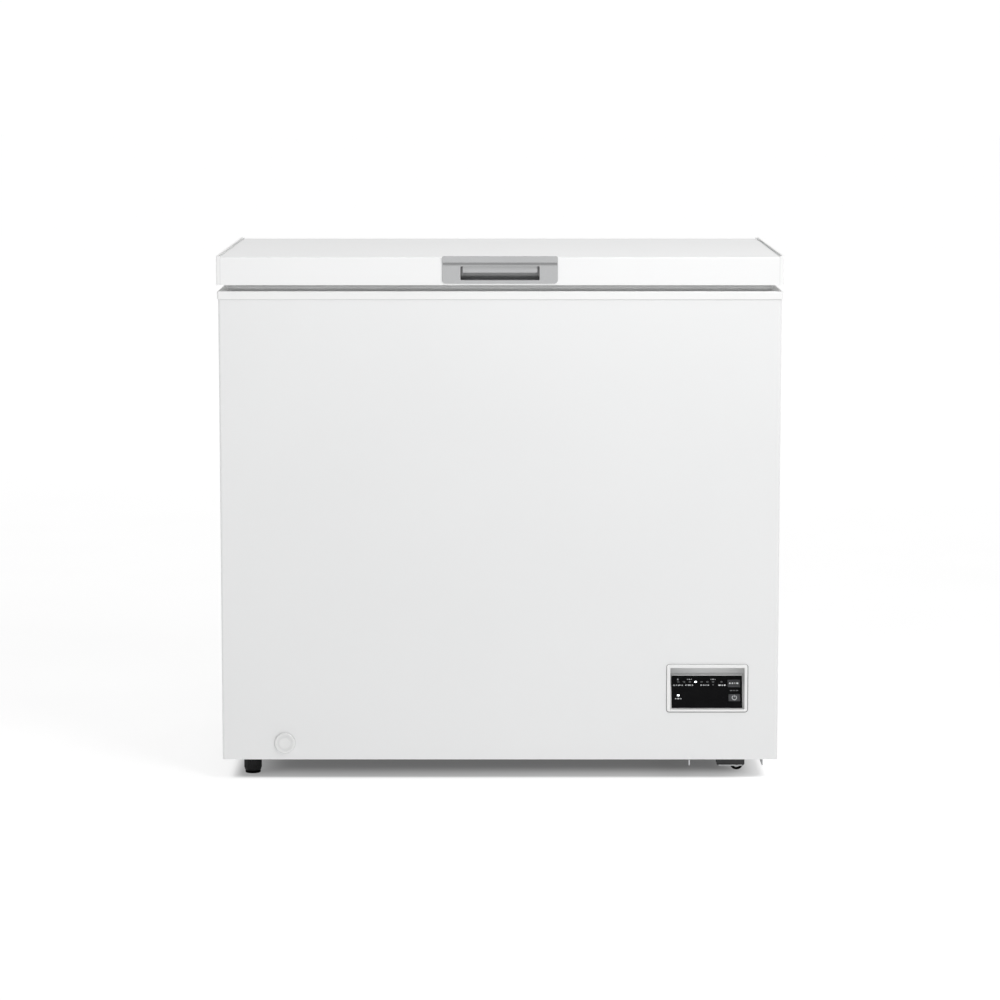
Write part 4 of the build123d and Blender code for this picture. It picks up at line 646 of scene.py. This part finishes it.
# rows of dashes where the plate has its captions: ink, from, to, up, height, and the dashes' relative lengths
CAPTIONS = (
    ("grey", 2.5, 18.6, 37.1, 2.2, (3, 2, 4, 2)),
    ("grey", 22.2, 35.5, 37.1, 2.2, (2, 4, 2)),
    ("grey", 46.8, 61.3, 37.1, 2.2, (3, 3, 2, 3)),
    ("white", 76.1, 88.0, 37.1, 2.4, (4, 2, 3)),
    ("grey", 5.7, 16.2, 15.1, 2.0, (2, 3, 2)),
    ("dim", 94.5, 108.5, 28.4, 1.8, (3, 2, 3)),
    ("grey", 25.3, 33.3, 46.6, 1.9, (1, 2, 1)),
    ("grey", 63.7, 71.7, 46.6, 1.9, (1, 2, 1)),
)
SHORT_DASH = dict(u=67.7, v=37.7, width=3.2, height=1.4)
OFF_LAMP = dict(v=LAMP_ROW, width=4.4, height=1.6)
LIT_HEIGHTS = (LENS_TOP - 0.1, LENS_TOP + 0.35)
SELECT_CAPTION = dict(u_from=93.5, u_to=109.0, v=40.2, height=2.6, lengths=(3, 3, 2, 4))
WARNING_TRIANGLE = [(8.9, 45.4), (12.1, 45.4), (10.5, 48.4)]
POWER_RING = dict(u=101.9, v=16.6, outer=4.1, width=1.2, start=120, sweep=300)
POWER_BAR = [(101.4, 17.4), (102.4, 17.4), (102.4, 21.0), (101.4, 21.0)]


class Panel:
    """The leaning control plate, with shapes that are drawn on it."""

    def __init__(self):
        low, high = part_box("control_fascia")
        presses = {joint["name"]: joint["axis"] for joint in frame["record"]["behaviour"]["joints"]}
        self.out = -Vector(presses["power_key_press"]).normalized()
        self.up = Vector((0.0, self.out.z, -self.out.y))
        self.corner = Vector((low.x, low.y, high.z - self.up.z * PLATE_HEIGHT * MM))

    def at(self, u, v, h):
        return self.corner + MM * (Vector((u, 0, 0)) + v * self.up + h * self.out)

    def prism(self, bm, outline, low, high):
        """A closed slab with the given outline between two heights above the plate."""
        bottom, top = ([bm.verts.new(self.at(u, v, height)) for u, v in outline] for height in (low, high))
        bm.faces.new(top)
        bm.faces.new(bottom[::-1])
        joined(bm, top, bottom)

    def bar(self, bm, u, v, width, height, low, high):
        """A flat mark with round ends."""
        radius = height / 2
        outline = []
        for centre, start in ((u + width / 2 - radius, -90), (u - width / 2 + radius, 90)):
            for angle in (math.radians(start + 30 * step) for step in range(7)):
                outline.append((centre + radius * math.cos(angle), v + radius * math.sin(angle)))
        self.prism(bm, outline, low, high)

    def dashes(self, bm, u_from, u_to, v, height, lengths, low=0.0, high=INK):
        """A row of short marks that fills the span between two places across the plate."""
        gap = 0.5 * height
        share = (u_to - u_from - gap * (len(lengths) - 1)) / sum(lengths)
        u = u_from
        for length in lengths:
            self.bar(bm, u + length * share / 2, v, length * share, height, low, high)
            u += length * share + gap

    def arc(self, bm, u, v, outer, width, start, sweep, low, high, steps=36):
        """Part of a ring."""
        angles = [math.radians(start + sweep * i / steps) for i in range(steps + 1)]
        rim, inner = ([(u + radius * math.cos(t), v + radius * math.sin(t)) for t in angles]
                      for radius in (outer, outer - width))
        for i in range(steps):
            self.prism(bm, [rim[i], rim[i + 1], inner[i + 1], inner[i]], low, high)

    def lens(self, bm, u, v, low, high):
        """An oval lens cap that bulges from low to high."""
        angles = [math.tau * i / LAMP_SIDES for i in range(LAMP_SIDES)]
        rings = []
        for share in LAMP_RINGS:
            across, along = LAMP_HALF_WIDTH * share, LAMP_OVAL * LAMP_HALF_WIDTH * share
            up = low + (high - low) * math.sqrt(1 - share ** 2)
            rings.append([bm.verts.new(self.at(u + across * math.cos(t), v + along * math.sin(t), up))
                          for t in angles])
        for ring, inner in zip(rings, rings[1:]):
            joined(bm, inner, ring)
        bm.faces.new(rings[-1])
        bm.faces.new(rings[0][::-1])


def panel_marks():
    """The plate's top lip, its print, which is strokes and symbols but no words, and its two lit lamps."""
    panel = Panel()
    lip = bmesh.new()
    left, right = LIP_INSET, PLATE_WIDTH - LIP_INSET
    bottom, top = LIP_SPAN
    panel.prism(lip, [(left, bottom), (right, bottom), (right, top), (left, top)], *LIP_HEIGHTS)
    bmesh.ops.bevel(lip, geom=list(lip.edges), offset=1e-4, segments=2, affect="EDGES")
    piece("fascia_top_lip", mesh_of("fascia_top_lip", lip), WHITE_PLASTIC, "cabinet")

    inks = {ink: bmesh.new() for ink in ("grey", "white", "dim")}
    for ink, *row in CAPTIONS:
        panel.dashes(inks[ink], *row)
    panel.prism(inks["grey"], WARNING_TRIANGLE, 0.0, INK)
    panel.bar(inks["dim"], low=0.0, high=INK, **SHORT_DASH)
    for u in LAMPS_OFF:
        panel.bar(inks["dim"], u, low=LENS_TOP - SUNK, high=LENS_TOP + INK, **OFF_LAMP)
    for ink, material in (("grey", PRINT), ("white", PRINT_WHITE), ("dim", PRINT_DIM)):
        name = "panel_print_" + ink
        piece(name, mesh_of(name, inks[ink]), material, "cabinet")

    lit = bmesh.new()
    for u, v in LAMPS_LIT:
        panel.lens(lit, u, v, *LIT_HEIGHTS)
    piece("lit_lamp_lenses", mesh_of("lit_lamp_lenses", lit, smooth=True), LIT, "cabinet")

    on_key = dict(low=KEY_TOP - SUNK, high=KEY_TOP + INK)
    select = bmesh.new()
    panel.dashes(select, **SELECT_CAPTION, **on_key)
    piece("select_key_print", mesh_of("select_key_print", select), PRINT_WHITE, "select_key")
    power = bmesh.new()
    panel.arc(power, **POWER_RING, **on_key)
    panel.prism(power, POWER_BAR, **on_key)
    piece("power_key_print", mesh_of("power_key_print", power), PRINT, "power_key")


# ------------------------------------------------------------------ camera, floor and light
def camera():
    data = bpy.data.cameras.new("camera")
    made = bpy.data.objects.new("camera", data)
    scene.collection.objects.link(made)
    data.lens = 119.8
    data.sensor_width = 36.0
    data.shift_y = -0.05
    data.clip_start, data.clip_end = 0.1, 200.0
    made.location = (0.0, -5.567, 1.179)
    degrees_down = 6.89
    made.rotation_euler = (math.radians(90 - degrees_down), 0, 0)
    scene.camera = made


def area_light(name, at, aim, size, power):
    data = bpy.data.lights.new(name, "AREA")
    data.shape = "RECTANGLE"
    data.size = data.size_y = size
    data.energy = power
    made = bpy.data.objects.new(name, data)
    scene.collection.objects.link(made)
    made.location = at
    made.rotation_euler = (Vector(aim) - Vector(at)).to_track_quat("-Z", "Y").to_euler()


FLOOR_HALF = 40.0
SHADOW_INSET = 0.108             # how far inside the freezer's outline the floor's painted shadow is darkest
SHADOW_CORNER = 0.03
# glow levels that paint the shadow: under the freezer, at the shadow's edge, near it and far away
UNDER_GLOW = 0.1
EDGE_GLOW = 0.3
NEAR_GLOW = 0.79
FAR_GLOW = 0.12                  # added far away
SHADOW_FADE = (0.0, 0.085)       # distances from the painted shadow's darkest part
EDGE_FADE = (0.075, 0.1)
FAR_FADE = (0.6, 6.0)
# the painted shadow is paler to the right: from x, to x, and the glow added there
PALER = ((-0.35, 0.35, 0.08), (0.35, 0.43, 0.22))
PALER_END = (0.085, 0.12)


def floor():
    """A pale floor that glows like a lit studio cove, with the freezer's shadow painted into its glow: dim
    under the freezer, paler to the right.
    """
    mesh = bpy.data.meshes.new("floor")
    half = FLOOR_HALF
    corners = [(-half, -half, 0), (half, -half, 0), (half, half, 0), (-half, half, 0)]
    mesh.from_pydata(corners, [], [(0, 1, 2, 3)])
    made = bpy.data.objects.new("floor", mesh)
    scene.collection.objects.link(made)

    g = Graph("pale_floor_painted_shadow")
    g.set(Emission_Color=(1.0, 1.0, 1.0), IOR=1.2)
    high = cad_box[1]
    apart = g.vector_math("ABSOLUTE", g.place)
    beyond = g.vector_math("SUBTRACT", apart, (high[0] - SHADOW_INSET, high[1] - SHADOW_INSET, 1.0))
    outside = g.parts(g.vector_math("MAXIMUM", beyond, (0.0, 0.0, 0.0)))
    distance = g.math("SMOOTH_MAX", outside["X"], outside["Y"], SHADOW_CORNER)

    # the glow is dimmed under the freezer: a painted shadow
    glow = smooth_step(g.tree, distance, *SHADOW_FADE, UNDER_GLOW, EDGE_GLOW)
    for fade, more in ((EDGE_FADE, NEAR_GLOW - EDGE_GLOW), (FAR_FADE, FAR_GLOW)):
        glow = g.math("ADD", glow, smooth_step(g.tree, distance, *fade, 0.0, more))
    started = smooth_step(g.tree, distance, *SHADOW_FADE, 0.0, 1.0)
    ended = smooth_step(g.tree, distance, *PALER_END, 1.0, 0.0)
    x = g.parts(g.place)["X"]
    for x_from, x_to, more in PALER:
        side = smooth_step(g.tree, x, x_from, x_to, 0.0, more)
        glow = g.math("ADD", glow, g.math("MULTIPLY", g.math("MULTIPLY", side, started), ended))
    g.link(glow, g.shader.inputs["Emission Strength"])

    grain = g.noise(3.0)
    mesh.materials.append(g.finish(g.ramp(grain, (0.3, 0.3), (0.7, 0.32)), g.span(grain, 0.85, 0.95)))


HORIZON = 1.02                   # the studio's brightness level with the freezer
OVERHEAD = 0.22                  # and above it
HORIZON_FADE = (0.1, 0.3)        # upward parts of the directions between which it changes


def world():
    """A white studio: bright round the horizon, softer overhead."""
    made = bpy.data.worlds.new("studio")
    made.use_nodes = True
    tree = made.node_tree
    background = tree.nodes["Background"]
    place = tree.nodes.new("ShaderNodeTexCoord")
    parts = tree.nodes.new("ShaderNodeSeparateXYZ")
    tree.links.new(place.outputs["Generated"], parts.inputs["Vector"])
    strength = smooth_step(tree, parts.outputs["Z"], *HORIZON_FADE, HORIZON, OVERHEAD)
    tree.links.new(strength, background.inputs["Strength"])
    background.inputs["Color"].default_value = (1.0, 1.0, 1.0, 1.0)
    scene.world = made


scene.view_settings.view_transform = "Standard"
camera()
floor()
world()
area_light("key", at=(0.8, -1.6, 2.3), aim=(0.0, -0.2, 0.5), size=0.7, power=22.0)
area_light("top", at=(0.6, 0.2, 5.5), aim=(0, 0, 0), size=5.0, power=124)

lid_seal()
end_cap_bead_and_shade()
casing_painted_shadows()
drain_cap_painted_shade()
handle_step_painted_shade()
lid_front_seams()
bracket_hems()
panel_marks()
